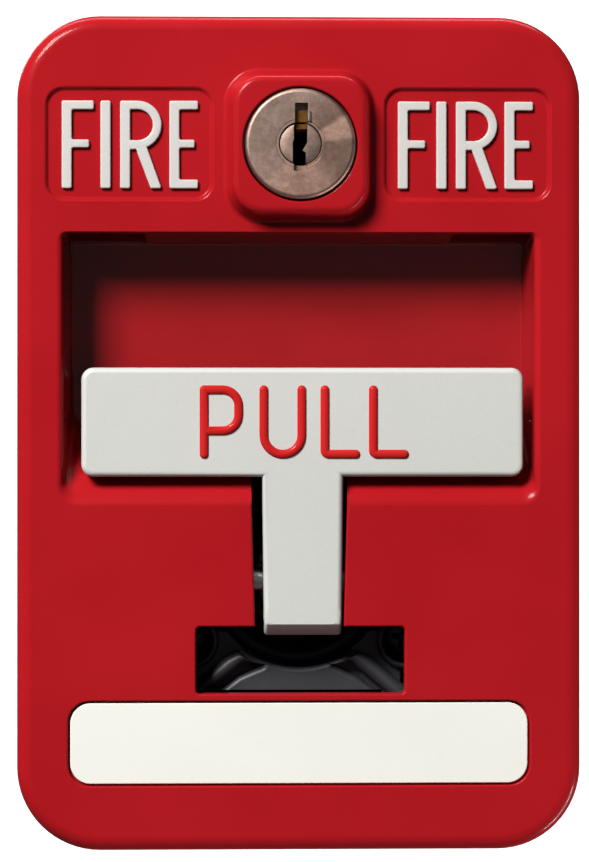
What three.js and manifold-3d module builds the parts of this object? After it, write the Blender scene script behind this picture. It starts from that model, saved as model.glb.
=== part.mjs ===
// Manual call point: a pull-down fire alarm station for a single-gang wall box.
// Millimetres, +Z up, front face towards -Y, +X to the right as seen from the front.
// The wall plane is y = 0 and the origin is the centre of the mounting plane.
import * as THREE from "three";
import { mergeVertices } from "three/addons/utils/BufferGeometryUtils.js";
import Module from "manifold-3d";

const wasm = await Module();
wasm.setup();

// ---------------------------------------------------------------- driving dimensions
const COVER_HALF_W = 42.0; // at the rear rim
const COVER_HALF_H = 62.0;
const COVER_R = 12.6;
const FACE_Y = -25.4; // front face of the cover
const RIM_Y = -0.4; // rear rim of the cover
const WALL = 2.4; // casting wall
const BEHIND_FACE_Y = FACE_Y + 2; // pads behind the front wall start inside it
const BEFORE_FACE_Y = FACE_Y - 1; // cuts in the face start clear of it

const RECESS_BOTTOM = -9.85;
const RAMP = 1.087; // rise of the sloping floor for each mm of depth

const LOCK_Z = 42.35;
const LOCK_FACE_Y = FACE_Y - 3.7; // front of the lock boss
const LOCK_R = 8.1;

const LABEL_Z = -45.8;
const LABEL_HALF_W = 33.8;
const LABEL_HALF_H = 5.95;

const HANDLE_X = 0.5; // end float taken up to one side
const PIVOT = { y: -19.9, z: -21.9 }; // handle pin
const PIN_R = 1.9;
const HUB_R = 3.4;
const DETENT = { x: 4.2, y: -13.2 }; // detent screw axis
const DETENT_HOLE_R = 1.2;

const TOGGLE = { y: -4.6, z: -21.9 }; // toggle lever ball centre
const TOGGLE_REST = 13; // degrees below level at rest
const ROCKER = { y: 5.3, z: -21.9 }; // contact blade pivot
const ROCKER_REST = -8; // degrees, upper end back

const HINGE = { y: -3.2, z: -59.2 }; // cover hinge
const PLATE_T = 1.6;
const SCREW_SEAT_Y = -PLATE_T - 0.05; // under the heads of screws on the plate front
const BOX_SCREW_Z = 83.3 / 2; // box screw spacing is 83.3
const HOLE_R = 1.65; // screw and rivet holes

// hole centres [x, z]
const CARRIER_SCREWS = [[-16.2, -12.6], [16.2, -12.6], [-16.2, -31.2], [16.2, -31.2]];
const BLOCK_SCREWS = [[-18.4, 9], [18.4, 9]];
const STRIKE_RIVETS = [[-5, 50], [5, 50]];
const GROUND_SCREW = [-28, -46];

const TERMINALS_X = [-9, 0, 9];
const TERMINAL_Z = 10.5;
const LUG_PITCH = 6.4;

const DEG = Math.PI / 180;
const SIDES = [-1, 1];

// ---------------------------------------------------------------- geometry helpers
// Ranges are [low, high] pairs along one axis; n is a segment count.
const around = (centre, half) => [centre - half, centre + half];
const centred = (half) => around(0, half);
// range between two distances from the centre plane, on side -1 or 1
const span = (side, near, far) => (side < 0 ? [-far, -near] : [near, far]);

const solid = (geometry) => {
  const loose = geometry.index ? geometry.toNonIndexed() : geometry;
  const bare = new THREE.BufferGeometry();
  bare.setAttribute("position", loose.getAttribute("position"));
  const welded = mergeVertices(bare, 1e-4);
  return new wasm.Manifold(
    new wasm.Mesh({
      numProp: 3,
      vertProperties: new Float32Array(welded.attributes.position.array),
      triVerts: new Uint32Array(welded.index.array),
    }),
  );
};

const geometryOf = (manifold) => {
  const mesh = manifold.getMesh();
  const geometry = new THREE.BufferGeometry();
  const positions = new Float32Array(mesh.vertProperties);
  geometry.setAttribute("position", new THREE.BufferAttribute(positions, 3));
  geometry.setIndex(new THREE.BufferAttribute(new Uint32Array(mesh.triVerts), 1));
  geometry.computeVertexNormals();
  return geometry;
};

const union = (...solids) => solids.reduce((sum, next) => sum.add(next));

const box = ([x0, x1], [y0, y1], [z0, z1]) =>
  solid(
    new THREE.BoxGeometry(x1 - x0, y1 - y0, z1 - z0).translate(
      (x0 + x1) / 2,
      (y0 + y1) / 2,
      (z0 + z1) / 2,
    ),
  );

// cylinders along each axis
const roundX = ([x0, x1], y, z, r, n) =>
  solid(
    new THREE.CylinderGeometry(r, r, x1 - x0, n)
      .rotateZ(Math.PI / 2)
      .translate((x0 + x1) / 2, y, z),
  );

const roundY = (x, [y0, y1], z, r, n) =>
  solid(new THREE.CylinderGeometry(r, r, y1 - y0, n).translate(x, (y0 + y1) / 2, z));

const roundZ = (x, y, [z0, z1], r, n) =>
  solid(
    new THREE.CylinderGeometry(r, r, z1 - z0, n)
      .rotateX(Math.PI / 2)
      .translate(x, y, (z0 + z1) / 2),
  );

// round holes along Y at each [x, z]
const drill = (body, spots, ys, r, n) =>
  spots.reduce((rest, [x, z]) => rest.subtract(roundY(x, ys, z, r, n)), body);

const vectors = (points) => points.map(([u, v]) => new THREE.Vector2(u, v));

const extrude = (points, depth, steps = 1, holes = []) => {
  const shape = new THREE.Shape(vectors(points));
  shape.holes = holes.map((hole) => new THREE.Path(vectors(hole)));
  return new THREE.ExtrudeGeometry(shape, { depth, steps, bevelEnabled: false });
};

// polygon of [x, z], extruded along Y
const plateXZ = (points, [y0, y1], holes = []) =>
  solid(extrude(points, y1 - y0, 1, holes).rotateX(Math.PI / 2).translate(0, y1, 0));

// polygon of [y, z], extruded along X
const TO_X = new THREE.Matrix4().set(0, 0, 1, 0, 1, 0, 0, 0, 0, 1, 0, 0, 0, 0, 0, 1);
const plateYZ = (points, [x0, x1]) =>
  solid(extrude(points, x1 - x0).applyMatrix4(TO_X).translate(x0, 0, 0));

// elliptical arc, angles in degrees
const arc = (cx, cz, rx, rz, from, to, n) =>
  Array.from({ length: n + 1 }, (_, i) => {
    const angle = (from + ((to - from) * i) / n) * DEG;
    return [cx + rx * Math.cos(angle), cz + rz * Math.sin(angle)];
  });

// outline of a rounded rectangle; r may be one radius or [top, bottom] radii
const outline = (halfW, bottom, top, r, n, cx = 0) => {
  const [rTop, rLow] = Array.isArray(r) ? r : [r, r];
  return [
    ...arc(cx + halfW - rTop, top - rTop, rTop, rTop, 0, 90, n),
    ...arc(cx - halfW + rTop, top - rTop, rTop, rTop, 90, 180, n),
    ...arc(cx - halfW + rLow, bottom + rLow, rLow, rLow, 180, 270, n),
    ...arc(cx + halfW - rLow, bottom + rLow, rLow, rLow, 270, 360, n),
  ];
};

// the same, placed by its centre
const pad = (x, z, halfW, halfH, r, n) => outline(halfW, z - halfH, z + halfH, r, n, x);

// loft through outlines of equal length, given as [y, points] from rear to front (falling y)
const loft = (sections) => {
  const first = sections[0][1];
  const layers = sections.length - 1;
  const geometry = extrude(first, layers, layers);
  const position = geometry.getAttribute("position");
  for (let i = 0; i < position.count; i++) {
    const layer = Math.round(position.getZ(i));
    let nearest = 0;
    let least = Infinity;
    for (let k = 0; k < first.length; k++) {
      const gap = (first[k][0] - position.getX(i)) ** 2 + (first[k][1] - position.getY(i)) ** 2;
      if (gap < least) {
        least = gap;
        nearest = k;
      }
    }
    const [y, points] = sections[layer];
    position.setXYZ(i, points[nearest][0], y, points[nearest][1]);
  }
  return solid(geometry);
};

// turned part along Y at x = 0: profile of [radius, y], from the axis out and back to it
const turned = (profile, n, z = 0) => {
  const spin = (points) => solid(new THREE.LatheGeometry(vectors(points), n).translate(0, 0, z));
  const part = spin(profile);
  // a profile that runs the other way comes out inside out
  return part.volume() >= 0 ? part : spin([...profile].reverse());
};

// hexagonal prism along Y at x = 0, turned by a number of degrees
const hexY = (z, ys, acrossFlats, turn) => {
  const r = acrossFlats / Math.sqrt(3);
  return plateXZ(arc(0, z, r, r, turn, turn + 300, 5), ys);
};

// flat bars with round ends along a centre line of [x, z]
const stroke = (points, width, ys) => {
  const r = width / 2;
  const bars = points.slice(1).map(([endX, endZ], i) => {
    const [startX, startZ] = points[i];
    const angle = Math.atan2(endZ - startZ, endX - startX) / DEG;
    return plateXZ(
      [
        ...arc(endX, endZ, r, r, angle - 90, angle + 90, 2),
        ...arc(startX, startZ, r, r, angle + 90, angle + 270, 2),
      ],
      ys,
    );
  });
  return union(...bars);
};

// single-stroke capitals of unit height, as centre lines from the lower left corner
const LETTERS = {
  F: [
    [[0, 0], [0, 1], [0.25, 1]],
    [[0, 0.5], [0.21, 0.5]],
  ],
  I: [[[0, 0], [0, 1]]],
  R: [
    [[0, 0], [0, 1], [0.13, 1], ...arc(0.13, 0.74, 0.2, 0.26, 72, -90, 3), [0, 0.48]],
    [[0.16, 0.47], [0.33, 0]],
  ],
  E: [
    [[0.22, 1], [0, 1], [0, 0], [0.22, 0]],
    [[0, 0.5], [0.21, 0.5]],
  ],
  P: [[[0, 0], [0, 1], [0.22, 1], ...arc(0.22, 0.76, 0.26, 0.24, 72, -90, 3), [0, 0.52]]],
  U: [[[0, 1], [0, 0.3], ...arc(0.26, 0.28, 0.26, 0.28, 200, 340, 3), [0.52, 0.3], [0.52, 1]]],
  L: [[[0, 1], [0, 0], [0.4, 0]]],
};

// letters are [letter, offset from the first]; capHeight and left include the line width
const word = ({ letters, left, middleZ, capHeight, lineWidth, ys }) => {
  const height = capHeight - lineWidth;
  const z = middleZ - height / 2;
  const strokes = letters.flatMap(([letter, offset]) => {
    const x = left + lineWidth / 2 + offset;
    return LETTERS[letter].map((line) =>
      stroke(
        line.map(([u, v]) => [x + u * height, z + v * height]),
        lineWidth,
        ys,
      ),
    );
  });
  return union(...strokes);
};

// pan-head screw along Y: seat at y = 0, head towards -Y, shank towards +Y
const panScrew = ({ headR, headH, shankR, length, crossed = true }) => {
  const screw = turned(
    [
      [0, -headH],
      [headR * 0.72, -headH],
      [headR, -headH * 0.45],
      [headR, 0],
      [shankR, 0],
      [shankR, length],
      [0, length],
    ],
    10,
  );
  if (!crossed) return geometryOf(screw);
  const along = centred(headR * 0.62);
  const across = centred(headR * 0.13);
  const depth = [-headH - 1, -headH * 0.45];
  return geometryOf(
    screw.subtract(box(along, depth, across)).subtract(box(across, depth, along)),
  );
};
const HEAD_BACK = [Math.PI, 0, 0]; // rotation that turns a screw head towards +Y
const HEAD_DOWN = [Math.PI / 2, 0, 0]; // and towards -Z

// ---------------------------------------------------------------- materials
const paint = (settings) => new THREE.MeshStandardMaterial(settings);
const PAINT = {
  red_enamel: paint({ color: 0xb01e24, roughness: 0.28, metalness: 0 }),
  handle_white: paint({ color: 0xd5d6d0, roughness: 0.45, metalness: 0 }),
  label_white: paint({ color: 0xf3f3ea, roughness: 0.5, metalness: 0 }),
  lock_nickel: paint({ color: 0xa39084, roughness: 0.35, metalness: 0.9 }),
  zinc_plate: paint({ color: 0xb4b8b8, roughness: 0.42, metalness: 0.8 }),
  steel: paint({ color: 0xa8abad, roughness: 0.35, metalness: 0.9 }),
  spring_steel: paint({ color: 0x8c8f93, roughness: 0.3, metalness: 0.9 }),
  brass: paint({ color: 0xb89650, roughness: 0.35, metalness: 0.9 }),
  black_plastic: paint({ color: 0x16161a, roughness: 0.35, metalness: 0 }),
  phenolic: paint({ color: 0x2a1c16, roughness: 0.5, metalness: 0 }),
  lead_red: paint({ color: 0xb3181c, roughness: 0.5, metalness: 0 }),
  lead_black: paint({ color: 0x141414, roughness: 0.5, metalness: 0 }),
  lead_yellow: paint({ color: 0xd8b323, roughness: 0.5, metalness: 0 }),
  ground_green: paint({ color: 0x2f7a3d, roughness: 0.4, metalness: 0.4 }),
};

// ---------------------------------------------------------------- scene graph
// a group placed in the station's own coordinates, which it keeps as its base
const groupAt = (parent, name, x, y, z) => {
  const group = new THREE.Group();
  group.name = name;
  parent.add(group);
  group.position.set(x, y, z);
  group.userData.base = new THREE.Vector3(x, y, z);
  if (parent.userData.base) group.position.sub(parent.userData.base);
  return group;
};
const station = new THREE.Group();
const plateGroup = groupAt(station, "plate_group", 0, 0, 0);
const coverGroup = groupAt(station, "cover_group", 0, HINGE.y, HINGE.z);
const handleGroup = groupAt(coverGroup, "handle_group", 0, PIVOT.y, PIVOT.z);
const lockGroup = groupAt(coverGroup, "lock_group", 0, FACE_Y, LOCK_Z);
const toggleGroup = groupAt(plateGroup, "toggle_group", 0, TOGGLE.y, TOGGLE.z);
const rockerGroup = groupAt(plateGroup, "rocker_group", 0, ROCKER.y, ROCKER.z);

// a solid given in the station's own coordinates becomes a mesh held by a group
const place = (group, name, manifold, paintName) => {
  const { x, y, z } = group.userData.base;
  const mesh = new THREE.Mesh(geometryOf(manifold.translate([-x, -y, -z])), PAINT[paintName]);
  mesh.name = name;
  group.add(mesh);
};

// a piece made about its own origin, placed by position and rotation
const put = (group, name, geometry, paintName, [x, y, z], rotation = [0, 0, 0]) => {
  const base = group.userData.base;
  const mesh = new THREE.Mesh(geometry, PAINT[paintName]);
  mesh.name = name;
  mesh.position.set(x - base.x, y - base.y, z - base.z);
  mesh.rotation.set(...rotation);
  group.add(mesh);
};

// ---------------------------------------------------------------- front cover
const DRAFT = 0.3; // per side, rear to front
const EDGE_R = 2.2; // rounding of the front edge
// rounding of the front edge, rear to front: depth behind the face and inset, in EDGE_R
const EDGE_STEPS = [[1, 0], [0.45, 0.16], [0.12, 0.5], [0, 1]];

const coverShell = () => {
  const section = (y, inset) => {
    const top = COVER_HALF_H - inset;
    return [y, outline(COVER_HALF_W - inset, -top, top, COVER_R - inset, 5)];
  };
  const edge = EDGE_STEPS.map(([depth, inset]) =>
    section(FACE_Y + depth * EDGE_R, DRAFT + inset * EDGE_R),
  );
  const cavity = loft([section(0.6, WALL), section(FACE_Y + 2.5, WALL + 0.4)]);
  return loft([section(RIM_Y, 0), ...edge]).subtract(cavity);
};

// sections of the lock boss: y, half width, half height, corner radius
const BOSS_SECTIONS = [
  [FACE_Y + 1, 11.0, 11.2, 5],
  [FACE_Y, 11.0, 11.2, 5],
  [LOCK_FACE_Y + 0.5, 9.75, 10.0, 4],
  [LOCK_FACE_Y, 9.2, 9.45, 3.6],
];
const lockBoss = () =>
  loft(BOSS_SECTIONS.map(([y, halfW, halfH, r]) => [y, pad(0, LOCK_Z, halfW, halfH, r, 3)]));

const RECESS_HALF_W = 34.9;
const RECESS_TOP = 29.5;
const RECESS_BACK_Y = -14.8;
const RECESS_DRAFT = 0.9;
const RECESS_UNDERSIDE = RECESS_BOTTOM - 2.15;

// space of the hand recess, over its sloping floor
const recessSpace = () => {
  const section = (y, inset, r) => [
    y,
    outline(RECESS_HALF_W - inset, RECESS_BOTTOM, RECESS_TOP - inset, r, 2),
  ];
  const rampBackY = RECESS_BACK_Y + 1;
  const ramp = plateYZ(
    [
      [FACE_Y, RECESS_BOTTOM - 1],
      [rampBackY, RECESS_BOTTOM - 1],
      [rampBackY, RECESS_BOTTOM + (rampBackY - FACE_Y) * RAMP],
      [FACE_Y, RECESS_BOTTOM],
    ],
    centred(RECESS_HALF_W + 1),
  );
  return loft([
    section(RECESS_BACK_Y, RECESS_DRAFT, 1.2),
    section(FACE_Y, 0, [0.6, 1.4]),
    section(BEFORE_FACE_Y, 0, [0.6, 1.4]),
  ]).subtract(ramp);
};

const FLOOR_CORE = [[-22.3, -10], [-12.3, -10], [-12.3, 0], [-13.35, 0]]; // [y, z]

const addRecess = (cover) => {
  const backing = box(
    centred(COVER_HALF_W - WALL + 0.2),
    [BEHIND_FACE_Y, RECESS_BACK_Y + 2],
    [RECESS_UNDERSIDE, RECESS_TOP + 2],
  );
  let body = cover.add(backing).subtract(recessSpace());
  // the sloping floor is cored out from behind, one core each side of the stem
  for (const side of SIDES) body = body.subtract(plateYZ(FLOOR_CORE, span(side, 9, 33)));
  // block under the floor that takes the detent screw
  body = body.add(box(centred(9), [-16, -10.4], [RECESS_UNDERSIDE, -7.5]));
  // openings in the ceiling of the recess, one each side
  const openingY = [FACE_Y + 2.6, RECESS_BACK_Y - 1.2];
  const openingZ = [RECESS_TOP - 2, RECESS_TOP + 3];
  for (const side of SIDES)
    body = body.subtract(box(span(side, 22.8, 34.3), openingY, openingZ));
  return body;
};

const SLOT_TOP_HALF = 7.1;
const SLOT_LOW_HALF = 6.5;
const WINDOW_TOP = -28.6;
const WINDOW_BOTTOM = -38.4;

// pin bosses behind the front wall, stem slot, window and pin bore
const addHandleMount = (cover) => {
  let body = cover;
  for (const side of SIDES) {
    const xs = span(side, 7.3, 12.4);
    body = body
      .add(roundX(xs, PIVOT.y, PIVOT.z, HUB_R, 14))
      .add(box(xs, [BEHIND_FACE_Y, PIVOT.y], around(PIVOT.z, HUB_R - 0.01)));
  }
  const stemSlot = [
    [-SLOT_LOW_HALF, WINDOW_TOP - 1],
    [SLOT_LOW_HALF, WINDOW_TOP - 1],
    [SLOT_TOP_HALF, RECESS_BOTTOM + 1.5],
    [SLOT_TOP_HALF, RECESS_BOTTOM + 6.45],
    [-SLOT_TOP_HALF, RECESS_BOTTOM + 6.45],
    [-SLOT_TOP_HALF, RECESS_BOTTOM + 1.5],
  ];
  const windowOutline = outline(15.4, WINDOW_BOTTOM, WINDOW_TOP, 0.5, 2, 0.15);
  return body
    .subtract(plateXZ(stemSlot, [FACE_Y - 2, -16.9]))
    .subtract(loft([[FACE_Y + 4, windowOutline], [BEFORE_FACE_Y, windowOutline]]))
    .subtract(roundX(centred(13), PIVOT.y, PIVOT.z, PIN_R + 0.16, 12));
};

const LEGEND_X = 24.9; // centre of each legend panel
const LEGEND_HALF_W = 12.3;
const LEGEND_HALF_H = 8.05;
const LEGEND_DEPTH = 0.7;
const LEGEND_LETTERS = [["F", 0], ["I", 5.65], ["R", 8.65], ["E", 15.85]];

// sunk panels with raised capitals, either side of the lock
const addLegends = (cover) => {
  const floorY = FACE_Y + LEGEND_DEPTH;
  let body = cover;
  for (const side of SIDES) {
    const x = side * LEGEND_X;
    const section = (y, grow, r) => [
      y,
      pad(x, LOCK_Z, LEGEND_HALF_W + grow, LEGEND_HALF_H + grow, r, 2),
    ];
    body = body
      .subtract(loft([section(floorY, -0.3, 2.1), section(BEFORE_FACE_Y, 0.3, 2.7)]))
      .add(
        word({
          letters: LEGEND_LETTERS,
          left: x - 10,
          middleZ: LOCK_Z,
          capHeight: 12.9,
          lineWidth: 1.45,
          ys: [FACE_Y + 0.1, floorY + 0.2],
        }),
      );
  }
  return body;
};

const labelSection = (y, grow, r) => [
  y,
  pad(0, LABEL_Z, LABEL_HALF_W + grow, LABEL_HALF_H + grow, r, 3),
];

const KNUCKLES = [[19.4, 22.6], [29.4, 32.6]]; // distances from the centre plane
const KNUCKLE_GAP = [KNUCKLES[0][1], KNUCKLES[1][0]];

// hinge knuckles on the lower wall, with clearance for the plate's ears
const addHinge = (cover) => {
  let body = cover;
  for (const side of SIDES)
    for (const knuckle of KNUCKLES)
      body = body.add(roundX(span(side, ...knuckle), HINGE.y, HINGE.z, 2.6, 12));
  body = body.subtract(box(centred(36), [-1.9, 1], [-64, -57.4])); // swing relief
  for (const side of SIDES)
    body = body
      .subtract(box(span(side, ...KNUCKLE_GAP), [-6.4, 1], [-64, -55]))
      .subtract(roundX(span(side, 19, 33), HINGE.y, HINGE.z, 1.5, 8));
  return body;
};

const frontCover = () => {
  let cover = addRecess(coverShell().add(lockBoss()));
  cover = addLegends(addHandleMount(cover));
  const labelSeat = loft([
    labelSection(FACE_Y + 0.9, 0.35, 3.2),
    labelSection(BEFORE_FACE_Y, 0.6, 3.4),
  ]);
  cover = cover
    .subtract(labelSeat)
    .subtract(roundY(0, [FACE_Y - 5, FACE_Y + 4], LOCK_Z, LOCK_R + 0.3, 20))
    .subtract(roundZ(DETENT.x, DETENT.y, [-13, -8.6], DETENT_HOLE_R, 8));
  return addHinge(cover);
};
place(coverGroup, "front_cover", frontCover(), "red_enamel");

// ---------------------------------------------------------------- label
place(
  coverGroup,
  "label_plate",
  loft([labelSection(FACE_Y + 0.85, 0, 3), labelSection(FACE_Y + 0.35, 0, 3)]),
  "label_white",
);

// ---------------------------------------------------------------- lock
const PLUG_R = 3.1;
const PLUG_BORE_R = PLUG_R + 0.3;
const BARREL_FRONT_Y = LOCK_FACE_Y - 0.6;
const BARREL_BODY_R = 7.4;
const BARREL_BACK_Y = -10.2;
const KEY_CUT_Y = [LOCK_FACE_Y - 1, FACE_Y + 8];

const lockBarrel = () => {
  const body = turned(
    [
      [0, BARREL_FRONT_Y],
      [LOCK_R - 0.35, BARREL_FRONT_Y],
      [LOCK_R, LOCK_FACE_Y - 0.25],
      [LOCK_R, FACE_Y + 1.5],
      [BARREL_BODY_R, FACE_Y + 1.5],
      [BARREL_BODY_R, BARREL_BACK_Y],
      [0, BARREL_BACK_Y],
    ],
    20,
    LOCK_Z,
  );
  const plugBore = turned(
    [
      [0, LOCK_FACE_Y - 1],
      [PLUG_R + 0.75, LOCK_FACE_Y - 1],
      [PLUG_BORE_R, LOCK_FACE_Y + 0.6],
      [PLUG_BORE_R, -9.5],
      [0, -9.5],
    ],
    14,
    LOCK_Z,
  );
  // wafer slots above and below the plug
  return body
    .subtract(plugBore)
    .subtract(box(centred(1.25), KEY_CUT_Y, [LOCK_Z + 1, LOCK_Z + 5.5]))
    .subtract(box(centred(1.25), KEY_CUT_Y, [LOCK_Z - 4.2, LOCK_Z - 1]));
};
place(coverGroup, "lock_barrel", lockBarrel(), "lock_nickel");

const lockNut = hexY(LOCK_Z, [-22.8, -19.8], 18.6, 0).subtract(
  roundY(0, [-24, -19], LOCK_Z, BARREL_BODY_R + 0.35, 16),
);
place(coverGroup, "lock_nut", lockNut, "steel");

// keyway outline: x, height above the lock centre
const KEYWAY = [
  [-1.15, -2.6], [0.85, -2.6], [0.85, -1.3], [0.35, -1.0], [1.05, 0.1],
  [1.05, 2.7], [-0.95, 2.7], [-0.95, 0.6], [-1.15, 0.2],
];

const lockPlug = () => {
  const body = turned(
    [
      [0, LOCK_FACE_Y - 0.1],
      [PLUG_R - 0.3, LOCK_FACE_Y - 0.1],
      [PLUG_R, LOCK_FACE_Y + 0.2],
      [PLUG_R, -9.9],
      [0, -9.9],
    ],
    14,
    LOCK_Z,
  );
  const keyway = KEYWAY.map(([x, rise]) => [x, LOCK_Z + rise]);
  // the square on the tail carries the cam
  return body
    .add(box(centred(1.9), [BARREL_BACK_Y, -7.7], around(LOCK_Z, 1.9)))
    .subtract(plateXZ(keyway, KEY_CUT_Y))
    .subtract(roundY(0, [-14, -7], LOCK_Z, 1.5, 8));
};
place(lockGroup, "lock_plug", lockPlug(), "lock_nickel");

// wafers across the keyway
const WAFER_PITCH = 1.15;
const WAFER_T = 0.7;
for (const i of [1, 2, 3]) {
  const frontY = LOCK_FACE_Y + 0.1 + i * WAFER_PITCH;
  const wafer = box([-0.65, 0.75], [frontY, frontY + WAFER_T], [LOCK_Z + 0.9, LOCK_Z + 2.4]);
  place(lockGroup, "lock_wafer_" + i, wafer, "brass");
}

const lockCam = () => {
  const square = 2.05; // half width of the hole
  return plateXZ(
    [
      ...arc(0, LOCK_Z, 4.6, 4.6, 180, 360, 6),
      [4.2, LOCK_Z + 9.4],
      [2.6, LOCK_Z + 11.6],
      [-2.6, LOCK_Z + 11.6],
      [-4.2, LOCK_Z + 9.4],
    ],
    [-9.6, -7.9],
    [
      [
        [-square, LOCK_Z - square],
        [-square, LOCK_Z + square],
        [square, LOCK_Z + square],
        [square, LOCK_Z - square],
      ],
    ],
  );
};
place(lockGroup, "lock_cam", lockCam(), "steel");

const camWasher = roundY(0, [-7.65, -7.05], LOCK_Z, 3.9, 14).subtract(
  roundY(0, [-8, -6], LOCK_Z, 1.6, 8),
);
place(lockGroup, "cam_washer", camWasher, "spring_steel");
const camScrew = panScrew({ headR: 3.2, headH: 1.9, shankR: 1.2, length: 5.2 });
put(lockGroup, "cam_screw", camScrew, "steel", [0, -7, LOCK_Z], HEAD_BACK);

// ---------------------------------------------------------------- handle
const HANDLE_FRONT = -26.0;
const HANDLE_BACK = -20.6;
const HANDLE_EDGE = 0.8; // depth of the rounding at the front edges
const BAR_HALF_W = 32.6;
const BAR_TOP = 9.6;
const BAR_BOTTOM = -6.45;
const STEM_HALF_TOP = 5.95;
const STEM_HALF_LOW = 5.7;
const STEM_END = -28.9;
const HUB_HALF_W = 5.7;
const FORK_REST = -25; // degrees, fork direction at rest
// upper prong of the fork: distance out from the pin, distance above the fork's centre line
const PRONG = [[0, 2.0], [6.2, 2.0], [6.5, 2.4], [6.3, 3.4], [0, 3.4]];
const PULL_LETTERS = [["P", 0], ["U", 8.8], ["L", 17.75], ["L", 24.85]];

const handleBar = () => {
  const section = (y, inset, r) => [
    y,
    outline(BAR_HALF_W - inset, BAR_BOTTOM + inset, BAR_TOP - inset, r, 2, HANDLE_X),
  ];
  const bevelFrontY = HANDLE_FRONT + 2.6;
  const bevelBackY = HANDLE_BACK + 1;
  // the back of the bar is bevelled to clear the sloping floor
  const bevel = plateYZ(
    [
      [bevelFrontY, BAR_BOTTOM - 1],
      [bevelBackY, BAR_BOTTOM - 1],
      [bevelBackY, BAR_BOTTOM + (bevelBackY - bevelFrontY) * RAMP],
      [bevelFrontY, BAR_BOTTOM],
    ],
    around(HANDLE_X, BAR_HALF_W + 1),
  );
  return loft([
    section(HANDLE_BACK, 0.5, 1.4),
    section(HANDLE_BACK - 0.5, 0, 1.8),
    section(HANDLE_FRONT + HANDLE_EDGE, 0, 1.8),
    section(HANDLE_FRONT + 0.25, 0.25, 1.7),
    section(HANDLE_FRONT, HANDLE_EDGE, 1.3),
  ]).subtract(bevel);
};

const handleStem = () => {
  const section = (y, inset) => {
    const top = STEM_HALF_TOP - inset;
    const low = STEM_HALF_LOW - inset;
    return [
      y,
      [
        [HANDLE_X + top, BAR_BOTTOM + 2],
        [HANDLE_X - top, BAR_BOTTOM + 2],
        [HANDLE_X - low, STEM_END + 1.2 + inset],
        [HANDLE_X - low + 1, STEM_END + inset],
        [HANDLE_X + low - 1, STEM_END + inset],
        [HANDLE_X + low, STEM_END + 1.2 + inset],
      ],
    ];
  };
  return loft([
    section(HANDLE_BACK, 0),
    section(HANDLE_FRONT + HANDLE_EDGE, 0),
    section(HANDLE_FRONT + 0.25, 0.2),
    section(HANDLE_FRONT, 0.6),
  ]);
};

// one prong of the fork that straddles the toggle lever; side 1 is the upper one
const forkProng = (side) => {
  const cos = Math.cos(FORK_REST * DEG);
  const sin = Math.sin(FORK_REST * DEG);
  const points = PRONG.map(([out, rise]) => [
    PIVOT.y + out * cos - side * rise * sin,
    PIVOT.z + out * sin + side * rise * cos,
  ]);
  return plateYZ(points, centred(2.2));
};

const pullHandle = () => {
  const hubX = around(HANDLE_X, HUB_HALF_W);
  return union(
    handleBar(),
    handleStem(),
    roundX(hubX, PIVOT.y, PIVOT.z, HUB_R, 14),
    box(hubX, [HANDLE_BACK - 0.5, PIVOT.y], around(PIVOT.z, HUB_R - 0.02)),
    forkProng(1),
    forkProng(-1),
  )
    .subtract(roundX(centred(9), PIVOT.y, PIVOT.z, PIN_R + 0.3, 12))
    .add(
      word({
        letters: PULL_LETTERS,
        left: HANDLE_X - 15.4,
        middleZ: 1.5,
        capHeight: 10.9,
        lineWidth: 1.35,
        ys: [HANDLE_FRONT - 0.45, HANDLE_FRONT + 0.5],
      }),
    );
};
place(handleGroup, "pull_handle", pullHandle(), "handle_white");

const handlePin = () => {
  let pin = roundX(centred(14), PIVOT.y, PIVOT.z, PIN_R, 12);
  for (const side of SIDES) {
    const groove = roundX(span(side, 12.8, 13.6), PIVOT.y, PIVOT.z, 3, 8);
    const core = roundX(span(side, 11.8, 14.6), PIVOT.y, PIVOT.z, 1.3, 12);
    pin = pin.subtract(groove.subtract(core));
  }
  return pin;
};
place(coverGroup, "handle_pin", handlePin(), "steel");

// retaining clip in a pin groove, open towards the back
const pinClip = (side) => {
  const cutX = span(side, 11.5, 15);
  return roundX(span(side, 12.9, 13.5), PIVOT.y, PIVOT.z, 2.75, 12)
    .subtract(roundX(cutX, PIVOT.y, PIVOT.z, 1.55, 12))
    .subtract(box(cutX, [PIVOT.y, PIVOT.y + 5], around(PIVOT.z, 1.2)));
};
place(coverGroup, "pin_clip_left", pinClip(-1), "spring_steel");
place(coverGroup, "pin_clip_right", pinClip(1), "spring_steel");

// ---------------------------------------------------------------- detent spring
const SPRING_T = 0.45;
// one face of the spring strip, from its screwed end: y, z
const SPRING_PATH = [
  [-11.6, -12.3], [-15.9, -12.3], [-17.4, -14.4],
  [-18.1, -16.6], [-18.8, -17.5], [-19.7, -17.3],
];

const detentSpring = () => {
  // the other face is set off square to the line between each point's neighbours
  const otherFace = SPRING_PATH.map(([y, z], i) => {
    const [lastY, lastZ] = SPRING_PATH[Math.max(0, i - 1)];
    const [nextY, nextZ] = SPRING_PATH[Math.min(SPRING_PATH.length - 1, i + 1)];
    const length = Math.hypot(nextY - lastY, nextZ - lastZ);
    return [
      y - ((nextZ - lastZ) / length) * SPRING_T,
      z + ((nextY - lastY) / length) * SPRING_T,
    ];
  });
  return plateYZ([...SPRING_PATH, ...otherFace.reverse()], around(DETENT.x, 1.4)).subtract(
    roundZ(DETENT.x, DETENT.y, [-14, -11], DETENT_HOLE_R, 8),
  );
};
place(coverGroup, "detent_spring", detentSpring(), "spring_steel");
const detentScrew = panScrew({ headR: 1.9, headH: 1.1, shankR: 0.9, length: 3.6 });
const detentSeat = [DETENT.x, DETENT.y, -12.85];
put(coverGroup, "detent_screw", detentScrew, "steel", detentSeat, HEAD_DOWN);

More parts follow.
